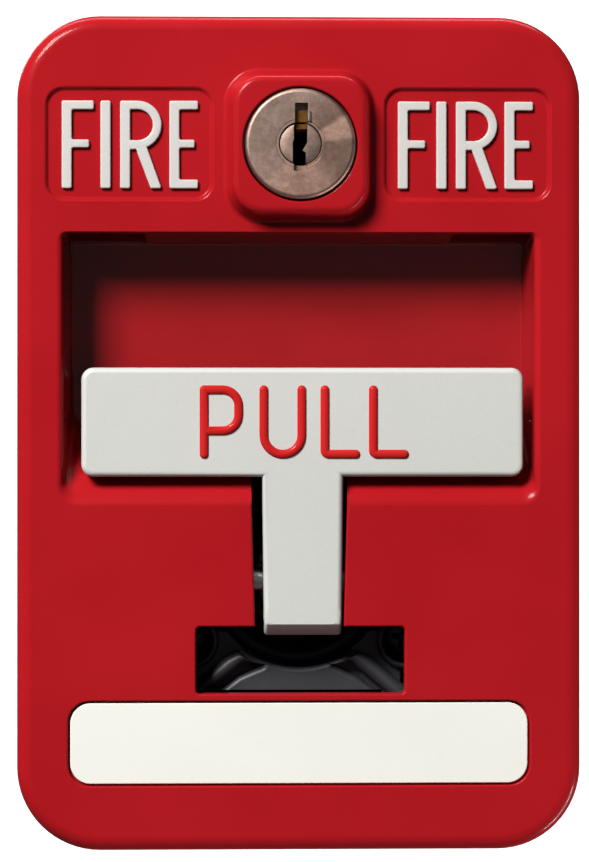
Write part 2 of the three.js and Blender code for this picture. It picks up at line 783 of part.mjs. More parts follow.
// ---------------------------------------------------------------- break rod clips
// spring clips for a break rod, seen through the openings in the recess ceiling
const CLIP_BOTTOM = 31.9;
const CLIP_T = 0.5;
const CLIP_FRONT_Y = -22.6;
const CLIP_BACK_Y = -14.2;

const rodClip = (xs) =>
  union(
    box(xs, [CLIP_FRONT_Y, CLIP_FRONT_Y + CLIP_T], [CLIP_BOTTOM, 37.5]),
    box(xs, [CLIP_FRONT_Y, CLIP_BACK_Y], [CLIP_BOTTOM, CLIP_BOTTOM + CLIP_T]),
    box(xs, [CLIP_BACK_Y - CLIP_T, CLIP_BACK_Y], [CLIP_BOTTOM, 34.6]),
  );
for (const side of SIDES) {
  const hand = side < 0 ? "left" : "right";
  const xs = span(side, 24.0, 27.2);
  const screw = panScrew({
    headR: 1.5,
    headH: 0.9,
    shankR: 0.7,
    length: 0.3,
    crossed: false,
  });
  const seat = [(xs[0] + xs[1]) / 2, -21.75, 35.4];
  place(coverGroup, "rod_clip_" + hand, rodClip(xs), "brass");
  put(coverGroup, "rod_clip_screw_" + hand, screw, "steel", seat, HEAD_BACK);
}

// ---------------------------------------------------------------- mounting plate
const PLATE_CUT_Y = [-3, 1]; // right through the plate
// slots right through the plate: x, z, half height
const PLATE_SLOTS = [
  [0, BOX_SCREW_Z, 3.4],
  [0, -BOX_SCREW_Z, 3.4],
  [-24, 24, 3.2],
  [24, 24, 3.2],
];
const PLATE_SLOT_HALF_W = 2.1;

// relief for the cover knuckles, then a hinge ear in it
const addEar = (plate, side) => {
  const earX = span(side, 23, 29);
  return plate
    .subtract(box(span(side, 19, 33), PLATE_CUT_Y, [-60, -55.2]))
    .add(box(earX, [-PLATE_T, 0], [HINGE.z, -55]))
    .add(roundX(earX, HINGE.y, HINGE.z, 2.4, 12))
    .add(box(earX, [HINGE.y, -PLATE_T + 0.01], [HINGE.z, HINGE.z + 2.3]))
    .subtract(roundX(span(side, 22, 30), HINGE.y, HINGE.z, 1.3, 8));
};

const mountingPlate = () => {
  let plate = plateXZ(outline(38.2, -56.2, 57.6, 8.6, 4), [-PLATE_T, 0]);
  for (const side of SIDES) plate = addEar(plate, side);
  for (const [x, z, halfH] of PLATE_SLOTS) {
    const slot = pad(x, z, PLATE_SLOT_HALF_W, halfH, PLATE_SLOT_HALF_W - 0.01, 3);
    plate = plate.subtract(plateXZ(slot, PLATE_CUT_Y));
  }
  // switch opening
  plate = plate.subtract(plateXZ(outline(8.2, -33.2, -10.6, 1, 3), PLATE_CUT_Y));
  const holes = [...CARRIER_SCREWS, ...BLOCK_SCREWS, ...STRIKE_RIVETS];
  plate = drill(plate, holes, PLATE_CUT_Y, HOLE_R, 8);
  plate = drill(plate, [GROUND_SCREW], PLATE_CUT_Y, 1.85, 8);
  // shallow seat that locates the terminal block
  return plate.subtract(box(centred(22.4), [-0.4, 1], [1.1, 17.4]));
};
place(plateGroup, "mounting_plate", mountingPlate(), "zinc_plate");

for (const side of SIDES)
  place(
    plateGroup,
    side < 0 ? "hinge_pin_left" : "hinge_pin_right",
    roundX(span(side, 19.6, 32.4), HINGE.y, HINGE.z, 1.15, 8),
    "steel",
  );

const boxScrew = panScrew({ headR: 3.5, headH: 2.1, shankR: 1.7, length: 22 });
put(plateGroup, "box_screw_top", boxScrew, "steel", [0, SCREW_SEAT_Y, BOX_SCREW_Z]);
put(plateGroup, "box_screw_bottom", boxScrew, "steel", [0, SCREW_SEAT_Y, -BOX_SCREW_Z]);
const groundScrew = panScrew({ headR: 3.6, headH: 2.2, shankR: 1.5, length: 6 });
const groundSeat = [GROUND_SCREW[0], SCREW_SEAT_Y, GROUND_SCREW[1]];
put(plateGroup, "ground_screw", groundScrew, "ground_green", groundSeat);

// ---------------------------------------------------------------- strike for the lock cam
const STRIKE_TOP = 56.2;
const STRIKE_FRONT_Y = -11.8;
const STRIKE_BACK_Y = -1.65;
const STRIKE_T = 1.2;

// foot on the plate, arm to the front, lip turned down
const strikeBracket = () => {
  const xs = centred(8);
  const bracket = union(
    box(xs, [-2.8, STRIKE_BACK_Y], [46.6, STRIKE_TOP]),
    box(xs, [STRIKE_FRONT_Y, STRIKE_BACK_Y], [STRIKE_TOP - STRIKE_T, STRIKE_TOP]),
    box(xs, [STRIKE_FRONT_Y, STRIKE_FRONT_Y + STRIKE_T], [50.8, STRIKE_TOP]),
  );
  return drill(bracket, STRIKE_RIVETS, [-4, 0], HOLE_R, 8);
};
place(plateGroup, "strike_bracket", strikeBracket(), "zinc_plate");

const RIVET_PROFILE = [[0, -1.1], [1.5, -0.9], [2.5, -0.1], [1.4, -0.1], [1.4, 2.7], [0, 2.7]];
const rivet = geometryOf(turned(RIVET_PROFILE, 8));
for (const [x, z] of STRIKE_RIVETS) {
  const name = x < 0 ? "strike_rivet_left" : "strike_rivet_right";
  put(plateGroup, name, rivet, "steel", [x, -2.85, z]);
}

// ---------------------------------------------------------------- switch carrier
const CARRIER_HALF_W = 22;
const CARRIER_BOTTOM = -47.6;
const CARRIER_TOP = -6.6;
const CARRIER_BACK_Y = -1.7;
const CARRIER_WALL = 1.6;
const FRONT_BOTTOM = -39.3; // raised front behind the window
const LOWER_CARRIER_SCREWS = CARRIER_SCREWS.filter(([, z]) => z < TOGGLE.z);

// dished inside of the collar: radius, y
const DISH = [[11.2, -10.0], [10.6, -8.6], [9.6, -7.4], [8.4, -5.2], [0, -5.2]];
// stepped collar round the switch: radius, y
const COLLAR = [
  [0, -3.4], [16.0, -3.4], [16.0, -6.3], [15.2, -7.2],
  [13.4, -8.2], [13.0, -9.9], [12.2, -10.3], ...DISH,
];
// right-hand edge of the raised panel and outline of the right-hand rib: x, z
const PANEL_EDGE = [[12.6, FRONT_BOTTOM], [11.2, -38.2], [8.3, -36.2], [5.8, -35.3], [5.2, -33]];
const RIB = [
  [5.7, -32.6], [9.4, -32.4], [15.5, -36.9], [15.5, -39.2],
  [14.2, -39.2], [8.4, -34.9], [5.9, -34.4],
];

// arm from the collar towards a corner, and the pillar for that corner's screw
const carrierCorner = ([x, z]) => {
  const isUpper = z > TOGGLE.z;
  const angle = Math.atan2(isUpper ? 0.75 : -0.75, Math.sign(x) * 0.7);
  const reach = isUpper ? 22.5 : 27.5;
  const along = (out, across) => [
    out * Math.cos(angle) - across * Math.sin(angle),
    TOGGLE.z + out * Math.sin(angle) + across * Math.cos(angle),
  ];
  const arm = [along(12, -1.5), along(reach, -1.5), along(reach, 1.5), along(12, 1.5)];
  return plateXZ(arm, [-8.6, -5]).add(roundY(x, [-8, -1.75], z, 4, 14));
};

// raised front behind the window: panel, two ribs and two screw towers round a well
const carrierFront = () => {
  const mirrored = PANEL_EDGE.map(([x, z]) => [-x, z]).reverse();
  let front = box(centred(15.6), [-16.2, -5], [FRONT_BOTTOM, -29.6]);
  front = front.add(plateXZ([...PANEL_EDGE, ...mirrored], [-18.3, -14]));
  for (const side of SIDES) {
    const rib = RIB.map(([x, z]) => [side * x, z]);
    front = front.add(plateXZ(rib, [-19.4, -14]));
  }
  for (const [x, z] of LOWER_CARRIER_SCREWS)
    front = front.add(roundY(x, [-17.6, -5], z, 4.3, 16));
  front = front.subtract(roundY(0, [-22, -4], TOGGLE.z, 13.3, 40)); // round well
  front = drill(front, LOWER_CARRIER_SCREWS, [-22, -8], 3.4, 14);
  return front.subtract(roundY(0, [-22, -1], -BOX_SCREW_Z, 3.2, 14));
};

const switchCarrier = () => {
  const base = outline(CARRIER_HALF_W, CARRIER_BOTTOM, CARRIER_TOP, 3, 3);
  const hollow = outline(
    CARRIER_HALF_W - CARRIER_WALL,
    CARRIER_BOTTOM + CARRIER_WALL,
    CARRIER_TOP - CARRIER_WALL,
    1.6,
    3,
  );
  let carrier = plateXZ(base, [-6, CARRIER_BACK_Y])
    .subtract(plateXZ(hollow, [-4, -1]))
    // way in for the lower box screw
    .subtract(roundY(0, [-7, -1], -BOX_SCREW_Z, 3.9, 12))
    .add(turned(COLLAR, 24, TOGGLE.z));
  for (const spot of CARRIER_SCREWS) carrier = carrier.add(carrierCorner(spot));
  carrier = carrier
    // inside of the collar stays open to the bushing nut
    .subtract(turned([[0, -12], [12.2, -12], ...DISH], 24, TOGGLE.z))
    // arms are trimmed to the base
    .intersect(
      box(centred(CARRIER_HALF_W), [-12, CARRIER_BACK_Y], [CARRIER_BOTTOM, CARRIER_TOP]),
    )
    .add(carrierFront())
    .subtract(roundY(0, [-7, -1], TOGGLE.z, 4.1, 12));
  return drill(carrier, CARRIER_SCREWS, [-12, -1], HOLE_R, 8);
};
place(plateGroup, "switch_carrier", switchCarrier(), "black_plastic");

const carrierScrew = panScrew({ headR: 3.0, headH: 1.8, shankR: 1.3, length: 9.4 });
CARRIER_SCREWS.forEach(([x, z], i) => {
  put(plateGroup, "carrier_screw_" + (i + 1), carrierScrew, "steel", [x, -8.1, z]);
});

// ---------------------------------------------------------------- toggle switch
const BUSHING_HOLE_R = 4.0; // in the nut and washer on the bushing

// moulded case, open towards the bushing
const switchCase = () => {
  const { z } = TOGGLE;
  let body = box(centred(6.6), [-3.2, 11], around(z, 10))
    .subtract(box(centred(5), [-4, 9.2], around(z, 8.6)))
    // notches at two opposite corners
    .subtract(box([-8, -6.2], [-1.6, 9], [z - 11, z - 8.4]))
    .subtract(box([6.2, 8], [-1.6, 9], [z + 8.4, z + 11]));
  for (const rise of [-LUG_PITCH, 0, LUG_PITCH])
    body = body.subtract(box(centred(2.6), [8, 12], around(z + rise, 0.7)));
  return body;
};
place(plateGroup, "switch_case", switchCase(), "phenolic");

// bushing outside, from its front end to the flange in the case mouth: radius, y
const BUSHING = [
  [0, -8.6], [3.4, -8.6], [3.7, -8.2], [3.7, -3.3], [4.8, -3.3], [4.8, -1.9], [0, -1.9],
];
const LEVER_HOLE = [[0, -9], [2.7, -9], [2.6, -1], [0, -1]]; // radius, y
const bushing = turned(BUSHING, 14, TOGGLE.z).subtract(turned(LEVER_HOLE, 14, TOGGLE.z));
place(plateGroup, "switch_bushing", bushing, "steel");

const bushingNut = hexY(TOGGLE.z, [-7.6, -5.75], 10.2, 30).subtract(
  roundY(0, [-9, -5], TOGGLE.z, BUSHING_HOLE_R, 12),
);
place(plateGroup, "bushing_nut", bushingNut, "steel");

const bushingWasher = roundY(0, [-5.65, -5.25], TOGGLE.z, 6.2, 14).subtract(
  roundY(0, [-7, -5], TOGGLE.z, BUSHING_HOLE_R, 12),
);
place(plateGroup, "bushing_washer", bushingWasher, "spring_steel");

// solder lugs: name, rise from the switch centre, y of the inner end
const LUGS = [
  ["lug_common", 0, 6.4],
  ["lug_normally_closed", LUG_PITCH, 7.9],
  ["lug_normally_open", -LUG_PITCH, 7.9],
];
for (const [name, rise, innerY] of LUGS) {
  const z = TOGGLE.z + rise;
  const eye = roundZ(0, 13.7, around(z, 1), 0.9, 8);
  const lug = box(centred(2.3), [innerY, 15.6], around(z, 0.4)).subtract(eye);
  place(plateGroup, name, lug, "brass");
}

// lever about its pivot ball: tip ball, tapered shank, pivot ball and tail; radius, y
const TIP_Y = -10.15; // tip ball centre
const LEVER = [
  [0, TIP_Y - 1.4], [0.75, TIP_Y - 1.2], [1.3, TIP_Y - 0.55], [1.4, TIP_Y],
  [1.2, TIP_Y + 0.7], [0.8, TIP_Y + 1.3], [1.0, -2.4], [1.5, -1.6], [2.2, 0],
  [1.5, 1.6], [0.9, 2.2], [0.8, 7.9], [0.4, 8.5], [0, 8.6],
];
const lever = geometryOf(turned(LEVER, 12));
const leverTurn = [TOGGLE_REST * DEG, 0, 0];
put(toggleGroup, "toggle_lever", lever, "steel", [0, TOGGLE.y, TOGGLE.z], leverTurn);

// contact blade about its pivot, rocked by the lever tail: y, z
const BLADE = [
  [-0.7, -1.4], [0.1, -1.7], [1.1, -7.2], [1.6, -7.0], [0.5, 0.1],
  [1.6, 7.0], [1.1, 7.2], [0.1, 1.7], [-0.7, 1.4],
];
const blade = geometryOf(plateYZ(BLADE, centred(1.8)));
const bladeTurn = [ROCKER_REST * DEG, 0, 0];
put(rockerGroup, "contact_rocker", blade, "brass", [0, ROCKER.y, ROCKER.z], bladeTurn);

// ---------------------------------------------------------------- terminal block
const terminalBlock = () => {
  let block = box(centred(22), [-0.3, 6], [1.5, 17]);
  // barriers beside the terminals
  for (const x of [-13.2, -4.5, 4.5, 13.2])
    block = block.add(box(around(x, 0.6), [5.9, 9.6], [2.5, 16]));
  const terminals = TERMINALS_X.map((x) => [x, TERMINAL_Z]);
  block = drill(block, terminals, [1.2, 7], 1.6, 8);
  return drill(block, BLOCK_SCREWS, [-1, 4.4], HOLE_R, 8);
};
place(plateGroup, "terminal_block", terminalBlock(), "black_plastic");

const clamp = geometryOf(
  box(centred(3.4), [0, 0.8], centred(4.4)).subtract(roundY(0, [-1, 2], 0, 1.6, 8)),
);
const terminalScrew = panScrew({ headR: 2.8, headH: 1.7, shankR: 1.25, length: 5 });
TERMINALS_X.forEach((x, i) => {
  const number = i + 1;
  const screwSeat = [x, 7.05, TERMINAL_Z];
  put(plateGroup, "terminal_clamp_" + number, clamp, "brass", [x, 6.15, TERMINAL_Z]);
  put(plateGroup, "terminal_screw_" + number, terminalScrew, "steel", screwSeat, HEAD_BACK);
});

const blockScrew = panScrew({ headR: 2.8, headH: 1.6, shankR: 1.25, length: 5.4 });
for (const [x, z] of BLOCK_SCREWS) {
  const name = x < 0 ? "block_screw_left" : "block_screw_right";
  put(plateGroup, name, blockScrew, "steel", [x, SCREW_SEAT_Y, z]);
}

// ---------------------------------------------------------------- leads
const LEAD_R = 0.85;
const LEAD_Y = 7.9; // leads lie over the clamp edge, beside the screw heads
const LEAD_END_Z = 6.9;
// lead paths from the lug to the clamp: x, y, rise from the switch centre
const LEAD_PATHS = {
  lead_black: [[0, 16.6, 0], [-2.0, 17.8, 2.0], [-3.6, 16.8, 8], [-2.0, 12.6, 17]],
  lead_yellow: [[0, 16.6, -LUG_PITCH], [-2.5, 18.6, -5], [-8, 17.0, 4], [-9.8, 12.6, 15]],
  lead_red: [[0, 16.6, LUG_PITCH], [2.6, 18.0, 7.4], [7.6, 15.4, 12], [9.3, 11.2, 19]],
};
// last two points of each path, in station coordinates: x, y, z
const LEAD_ENDS = {
  lead_black: [[0, LEAD_Y + 0.2, 2.6], [0, LEAD_Y, LEAD_END_Z]],
  lead_yellow: [[-9.2, LEAD_Y + 0.4, 1.6], [-9, LEAD_Y, LEAD_END_Z]],
  lead_red: [[9.1, LEAD_Y + 0.2, 2.6], [9, LEAD_Y, LEAD_END_Z]],
};

const lead = (points) => {
  const extrudePath = new THREE.CatmullRomCurve3(
    points.map((point) => new THREE.Vector3(...point)),
    false,
    "centripetal",
  );
  const hexagon = new THREE.Shape(vectors(arc(0, 0, LEAD_R, LEAD_R, 0, 300, 5)));
  return solid(
    new THREE.ExtrudeGeometry(hexagon, { steps: 12, bevelEnabled: false, extrudePath }),
  );
};
for (const [name, path] of Object.entries(LEAD_PATHS)) {
  const start = path.map(([x, y, rise]) => [x, y, TOGGLE.z + rise]);
  place(plateGroup, name, lead([...start, ...LEAD_ENDS[name]]), name);
}

export default station;
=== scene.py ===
# Fire-alarm pull station: a red hinged cover with a white T-shaped pull handle, raised lettering,
# a label and a cam lock, over a mounting plate that carries a toggle switch and a terminal block.
# X points right, Z up, and -Y out of the front. The back of the mounting plate lies at y = 0.
# Shapes are modelled in millimetres and scaled to metres as each piece is finished.
import math

import bmesh
import bpy
from mathutils import Matrix, Vector


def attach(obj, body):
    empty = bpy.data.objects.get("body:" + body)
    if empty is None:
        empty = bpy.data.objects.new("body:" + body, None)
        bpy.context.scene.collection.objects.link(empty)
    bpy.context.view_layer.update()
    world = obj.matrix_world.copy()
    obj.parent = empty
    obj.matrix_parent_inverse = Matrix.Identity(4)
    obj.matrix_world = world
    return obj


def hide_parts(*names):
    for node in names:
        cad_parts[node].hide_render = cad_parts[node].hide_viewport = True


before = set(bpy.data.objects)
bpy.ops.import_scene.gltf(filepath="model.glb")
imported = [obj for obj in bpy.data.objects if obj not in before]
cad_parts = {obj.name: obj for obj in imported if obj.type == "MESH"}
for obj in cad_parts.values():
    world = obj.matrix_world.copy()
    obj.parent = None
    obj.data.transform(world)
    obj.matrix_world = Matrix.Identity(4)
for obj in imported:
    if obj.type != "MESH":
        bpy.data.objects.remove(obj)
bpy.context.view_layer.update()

MM = 0.001
PI = math.pi

# ---------------------------------------------------------------- shared sizes, mm
HALF_WIDTH, HALF_HEIGHT, COVER_CORNER = 42.0, 62.0, 12.6
FACE, RIM, WALL = -25.4, -0.4, 2.4  # y of the cover's face and rear rim, wall thickness
RECESS_BACK = -14.8  # y of the back of the hand recess
RAMP = 1.087  # rise of the recess floor per mm of depth
LOCK_Z, BOSS_HEIGHT, BARREL_RADIUS, PLUG_RADIUS = 42.35, 3.7, 8.1, 3.1
LOCK_FRONT = FACE - BOSS_HEIGHT
PIN_Y, PIN_Z, HUB_RADIUS = -19.9, -21.9, 3.4  # axis of the handle pin and the bosses round it
HINGE_Y, HINGE_Z = -3.2, -59.2
HANDLE_X = 0.5  # the handle stands this far right of the middle
HANDLE_FRONT, HANDLE_REAR = -26.0, -20.6
SWITCH_Z = -21.9
BOX_SCREW_Z = 41.65  # box screws above and below the middle
CARRIER_SCREW_X, CARRIER_SCREW_ZS = 16.2, (-31.2, -12.6)
BLOCK_SCREW_X, BLOCK_SCREW_Z = 18.4, 9
TERMINAL_XS, TERMINAL_SCREW_Z = (-9, 0, 9), 10.5
CLAMP_Y = 6.15  # front of the terminal clamps
LUG_PITCH, LUG_EYE_Y = 6.4, 13.7
PLATE = 1.6
GROUND_X, GROUND_Z = -28, -46
STRIKE_X, STRIKE_Z = 5, 50  # rivets of the strike
DETENT_X, DETENT_Y = 4.2, -13.2
SHARP = 0.0001  # rim rounding of a plain bore cutter

SIDES = ((-1, "left"), (1, "right"))


# ---------------------------------------------------------------- outlines
def quarter_round(radius, steps):
    """(offset, depth) pairs; the offset falls from radius to 0 as the depth grows to radius."""
    angles = [PI / 2 * i / steps for i in range(steps + 1)]
    return [(radius * (1 - math.sin(a)), radius * (1 - math.cos(a))) for a in angles]


def arc(x, z, radius, start, end, steps):
    angles = [math.radians(start + (end - start) * i / steps) for i in range(steps + 1)]
    return [(x + radius * math.cos(a), z + radius * math.sin(a)) for a in angles]


def rect(x0, x1, z0, z1):
    return [(x0, z0), (x1, z0), (x1, z1), (x0, z1)]


def rounded_rect(half_width, z_low, z_high, radius, steps, x_mid=0.0, grow=0.0):
    """Rounded rectangle grown all round; radius is one value or a (top, bottom) pair."""
    pair = radius if isinstance(radius, tuple) else (radius, radius)
    top, bottom = (r + grow for r in pair)
    half_width += grow
    z_low -= grow
    z_high += grow
    points = []
    for x, z, r, start in ((half_width - top, z_high - top, top, 0),
                           (-half_width + top, z_high - top, top, 90),
                           (-half_width + bottom, z_low + bottom, bottom, 180),
                           (half_width - bottom, z_low + bottom, bottom, 270)):
        points += arc(x_mid + x, z, r, start, start + 90, steps)
    return points


def regular_polygon(radius, sides, turn=0.0, x=0.0, z=0.0):
    angles = [math.radians(turn + 360 * i / sides) for i in range(sides)]
    return [(x + radius * math.cos(a), z + radius * math.sin(a)) for a in angles]


def round_corners(points, radius, steps):
    """Polygon with each corner rounded; radius is one value or one per corner."""
    out = []
    for i, p in enumerate(points):
        r = radius[i] if isinstance(radius, (list, tuple)) else radius
        before, corner, after = Vector(points[i - 1]), Vector(p), Vector(points[(i + 1) % len(points)])
        u, v = (before - corner), (after - corner)
        u_length, v_length = u.length, v.length
        u, v = u / u_length, v / v_length
        angle = u.angle(v)
        if r <= 1e-6 or angle > PI - 1e-3:
            out.append((corner.x, corner.y))
            continue
        reach = min(r / math.tan(angle / 2), 0.49 * u_length, 0.49 * v_length)
        r = reach * math.tan(angle / 2)
        centre = corner + (u + v).normalized() * (r / math.sin(angle / 2))
        start, end = corner + u * reach, corner + v * reach
        a0 = math.atan2(start.y - centre.y, start.x - centre.x)
        a1 = math.atan2(end.y - centre.y, end.x - centre.x)
        swing = (a1 - a0 + PI) % (2 * PI) - PI
        for k in range(steps + 1):
            a = a0 + swing * k / steps
            out.append((centre.x + r * math.cos(a), centre.y + r * math.sin(a)))
    return out


def smooth_path(points, reach, steps=5):
    """Open polyline with its bends rounded, starting at most reach from each corner."""
    out = [points[0]]
    for i in range(1, len(points) - 1):
        before, corner, after = (Vector(p) for p in points[i - 1:i + 2])
        u, v = (before - corner), (after - corner)
        t = min(reach, 0.45 * u.length, 0.45 * v.length)
        start, end = corner + u.normalized() * t, corner + v.normalized() * t
        for k in range(steps + 1):
            w = k / steps
            q = (start * (1 - w) + corner * w) * (1 - w) + (corner * (1 - w) + end * w) * w
            out.append((q.x, q.y))
    out.append(points[-1])
    return out


def signed_area(points):
    return 0.5 * sum(points[i - 1][0] * p[1] - p[0] * points[i - 1][1]
                     for i, p in enumerate(points))


def inset(points, distance):
    """Moves every vertex inwards along its bisector."""
    if signed_area(points) < 0:
        return inset(points[::-1], distance)[::-1]
    out = []
    for i, p in enumerate(points):
        before, corner, after = Vector(points[i - 1]), Vector(p), Vector(points[(i + 1) % len(points)])
        edge_in, edge_out = (corner - before), (after - corner)
        if edge_in.length < 1e-9 or edge_out.length < 1e-9:
            out.append(p)
            continue
        normal_in = Vector((-edge_in.y, edge_in.x)).normalized()
        bisector = normal_in + Vector((-edge_out.y, edge_out.x)).normalized()
        if bisector.length < 1e-6:
            out.append(p)
            continue
        bisector.normalize()
        k = distance / max(0.4, bisector.dot(normal_in))
        out.append((corner.x + bisector.x * k, corner.y + bisector.y * k))
    return out


def lift(points, at, axis="Y"):
    """Puts a flat outline at a place along an axis; its two columns are the other axes in order."""
    if axis == "Y":
        return [(a, at, b) for a, b in points]
    if axis == "X":
        return [(at, a, b) for a, b in points]
    return [(a, b, at) for a, b in points]


def on_side(side, near, far):
    """The x range from near to far, on the right for side 1 and mirrored for side -1."""
    return (near, far) if side > 0 else (-far, -near)


# ---------------------------------------------------------------- meshes
def new_object(bm, name="shape"):
    mesh = bpy.data.meshes.new(name)
    bm.to_mesh(mesh)
    bm.free()
    o = bpy.data.objects.new(name, mesh)
    bpy.context.scene.collection.objects.link(o)
    return o


def loft(rings):
    """Closed skin through rings of equal length, capped at both ends."""
    bm = bmesh.new()
    verts = [[bm.verts.new(p) for p in ring] for ring in rings]
    n = len(rings[0])
    for a, b in zip(verts, verts[1:]):
        for k in range(n):
            bm.faces.new((a[k], a[(k + 1) % n], b[(k + 1) % n], b[k]))
    bm.faces.new(verts[0][::-1])
    bm.faces.new(verts[-1])
    bmesh.ops.recalc_face_normals(bm, faces=bm.faces)
    return new_object(bm)


def slab(outline, start, end, axis="Y"):
    """Plain extrusion with sharp rims."""
    return loft([lift(outline, start, axis), lift(outline, end, axis)])


def prism(outline, low, high, edge, axis="Y", steps=3, low_edge=None):
    """Extrusion with rounded rims; the low end may have its own rounding."""
    low_edge = edge if low_edge is None else low_edge
    rings = [lift(inset(outline, offset), low + depth, axis)
             for offset, depth in quarter_round(low_edge, steps)]
    rings += [lift(inset(outline, offset), high - depth, axis)
              for offset, depth in reversed(quarter_round(edge, steps))]
    return loft(rings)


def soft_prism(points, corner, low, high, edge, axis="Y", corner_steps=4, steps=3, low_edge=None):
    """Prism over an outline whose corners are rounded too."""
    outline = round_corners(points, corner, corner_steps)
    return prism(outline, low, high, edge, axis, steps, low_edge)


def box(x0, x1, y0, y1, z0, z1, edge=0.0):
    if edge <= 0:
        return slab(rect(x0, x1, z0, z1), y0, y1)
    return soft_prism(rect(x0, x1, z0, z1), edge, y0, y1, edge, corner_steps=3)


def lathe(profile, segments, closed=False):
    """Turned about the Y axis. profile holds (radius or radius(angle), y); radius 0 is a pole."""
    bm = bmesh.new()
    rings = []
    for radius, y in profile:
        if not callable(radius) and abs(radius) < 1e-9:
            rings.append([bm.verts.new((0, y, 0))])
            continue
        ring = []
        for i in range(segments):
            a = 2 * PI * i / segments
            r = radius(a) if callable(radius) else radius
            ring.append(bm.verts.new((r * math.cos(a), y, r * math.sin(a))))
        rings.append(ring)
    pairs = list(zip(rings, rings[1:])) + ([(rings[-1], rings[0])] if closed else [])
    for a, b in pairs:
        for k in range(segments):
            j = (k + 1) % segments
            if len(a) == 1:
                bm.faces.new((a[0], b[j], b[k]))
            elif len(b) == 1:
                bm.faces.new((a[k], a[j], b[0]))
            else:
                bm.faces.new((a[k], a[j], b[j], b[k]))
    bmesh.ops.recalc_face_normals(bm, faces=bm.faces)
    return new_object(bm)


def rotation(axis, degrees):
    return Matrix.Rotation(math.radians(degrees), 4, axis)


def move(o, x=0.0, y=0.0, z=0.0, turn=None):
    matrix = Matrix.Translation((x, y, z))
    if turn is not None:
        matrix = matrix @ turn
    o.data.transform(matrix)
    return o


def drill(radius, y0, y1, x, z, segments=40, flare=0.0):
    """Round cutter along Y, 1.5 mm longer at either end; flare rounds the mouth at y0."""
    past = 1.5
    profile = [(0, y0 - past), (radius + flare, y0 - past)]
    if flare > 0:
        profile += [(radius + offset, y0 + depth) for offset, depth in quarter_round(flare, 4)]
    profile += [(radius, y1 + past), (0, y1 + past)]
    return move(lathe(profile, segments), x, 0, z)


def rod(radius, start, end, axis, at, edge, segments):
    """Round bar with rounded rims along an axis; at is its place on the other two axes."""
    rim = quarter_round(edge, 3)
    profile = [(0, start)]
    profile += [(radius - offset, start + depth) for offset, depth in rim]
    profile += [(radius - offset, end - depth) for offset, depth in reversed(rim)]
    profile.append((0, end))
    o = lathe(profile, segments)
    if axis == "X":
        o.data.transform(rotation("Z", -90))
        return move(o, 0, at[0], at[1])
    if axis == "Z":
        o.data.transform(rotation("X", 90))
        return move(o, at[0], at[1], 0)
    return move(o, at[0], 0, at[1])


def bore(radius, start, end, axis, at, segments):
    return rod(radius, start, end, axis, at, SHARP, segments)


def thread(radius, depth, pitch, y0, y1, rings_per_turn):
    """Profile entries of a screw thread that runs out at both ends."""
    def radius_at(y):
        fade = min(1.0, min(abs(y - y0), abs(y1 - y)) / pitch)

        def by_angle(angle):
            wave = abs(2 * ((y / pitch - angle / (2 * PI)) % 1.0) - 1)
            return radius - depth * fade * (1 - min(1, max(0, (wave - 0.12) / 0.76)))
        return by_angle

    steps = max(2, int(round(abs(y1 - y0) / pitch * rings_per_turn)))
    places = [y0 + (y1 - y0) * i / steps for i in range(steps + 1)]
    return [(radius_at(y), y) for y in places]


def washer(inner, outer, y0, y1, edge=0.12, segments=48):
    e = min(edge, (y1 - y0) * 0.45)
    return lathe([(inner, y0 + e), (inner + e, y0), (outer - e, y0), (outer, y0 + e),
                  (outer, y1 - e), (outer - e, y1), (inner + e, y1), (inner, y1 - e)],
                 segments, closed=True)


def strip(path, thickness, x0, x1, edge):
    """Bent flat strip; path holds (y, z) points along one face."""
    points = [Vector(p) for p in path]
    other = []
    for i, p in enumerate(points):
        along = (points[min(len(points) - 1, i + 1)] - points[max(0, i - 1)]).normalized()
        other.append((p.x - along.y * thickness, p.y + along.x * thickness))
    return prism([(p.x, p.y) for p in points] + other[::-1], x0, x1, edge, "X", 2)


def evaluated_mesh(o):
    bpy.context.view_layer.update()
    depsgraph = bpy.context.evaluated_depsgraph_get()
    return bpy.data.meshes.new_from_object(o.evaluated_get(depsgraph))


def drop(o):
    mesh = o.data
    bpy.data.objects.remove(o)
    if mesh.users == 0:
        bpy.data.meshes.remove(mesh)


def boolean(target, tool, operation):
    """Applies a boolean and discards the tool."""
    before = len(target.data.vertices)
    modifier = target.modifiers.new("boolean", "BOOLEAN")
    modifier.object, modifier.operation, modifier.solver = tool, operation, "MANIFOLD"
    result = evaluated_mesh(target)
    count = len(result.vertices)
    # the manifold solver gives nothing, or no change, on meshes it can't take
    if count == 0 or (count == before and operation != "INTERSECT"):
        modifier.solver = "EXACT"
        bpy.data.meshes.remove(result)
        result = evaluated_mesh(target)
    target.modifiers.remove(modifier)
    old = target.data
    target.data = result
    bpy.data.meshes.remove(old)
    drop(tool)
    return target


def cut(target, tool):
    return boolean(target, tool, "DIFFERENCE")


def add(target, tool):
    return boolean(target, tool, "UNION")


def trim_to(target, tool):
    return boolean(target, tool, "INTERSECT")


def tidy(o, distance=0.004):
    """Merges the slivers that booleans leave."""
    bm = bmesh.new()
    bm.from_mesh(o.data)
    bmesh.ops.remove_doubles(bm, verts=bm.verts, dist=distance)
    bmesh.ops.dissolve_degenerate(bm, edges=bm.edges, dist=distance)
    bm.to_mesh(o.data)
    bm.free()


def join(objects):
    bm = bmesh.new()
    for o in objects:
        bm.from_mesh(o.data)
    for o in objects[1:]:
        drop(o)
    bm.to_mesh(objects[0].data)
    bm.free()
    return objects[0]


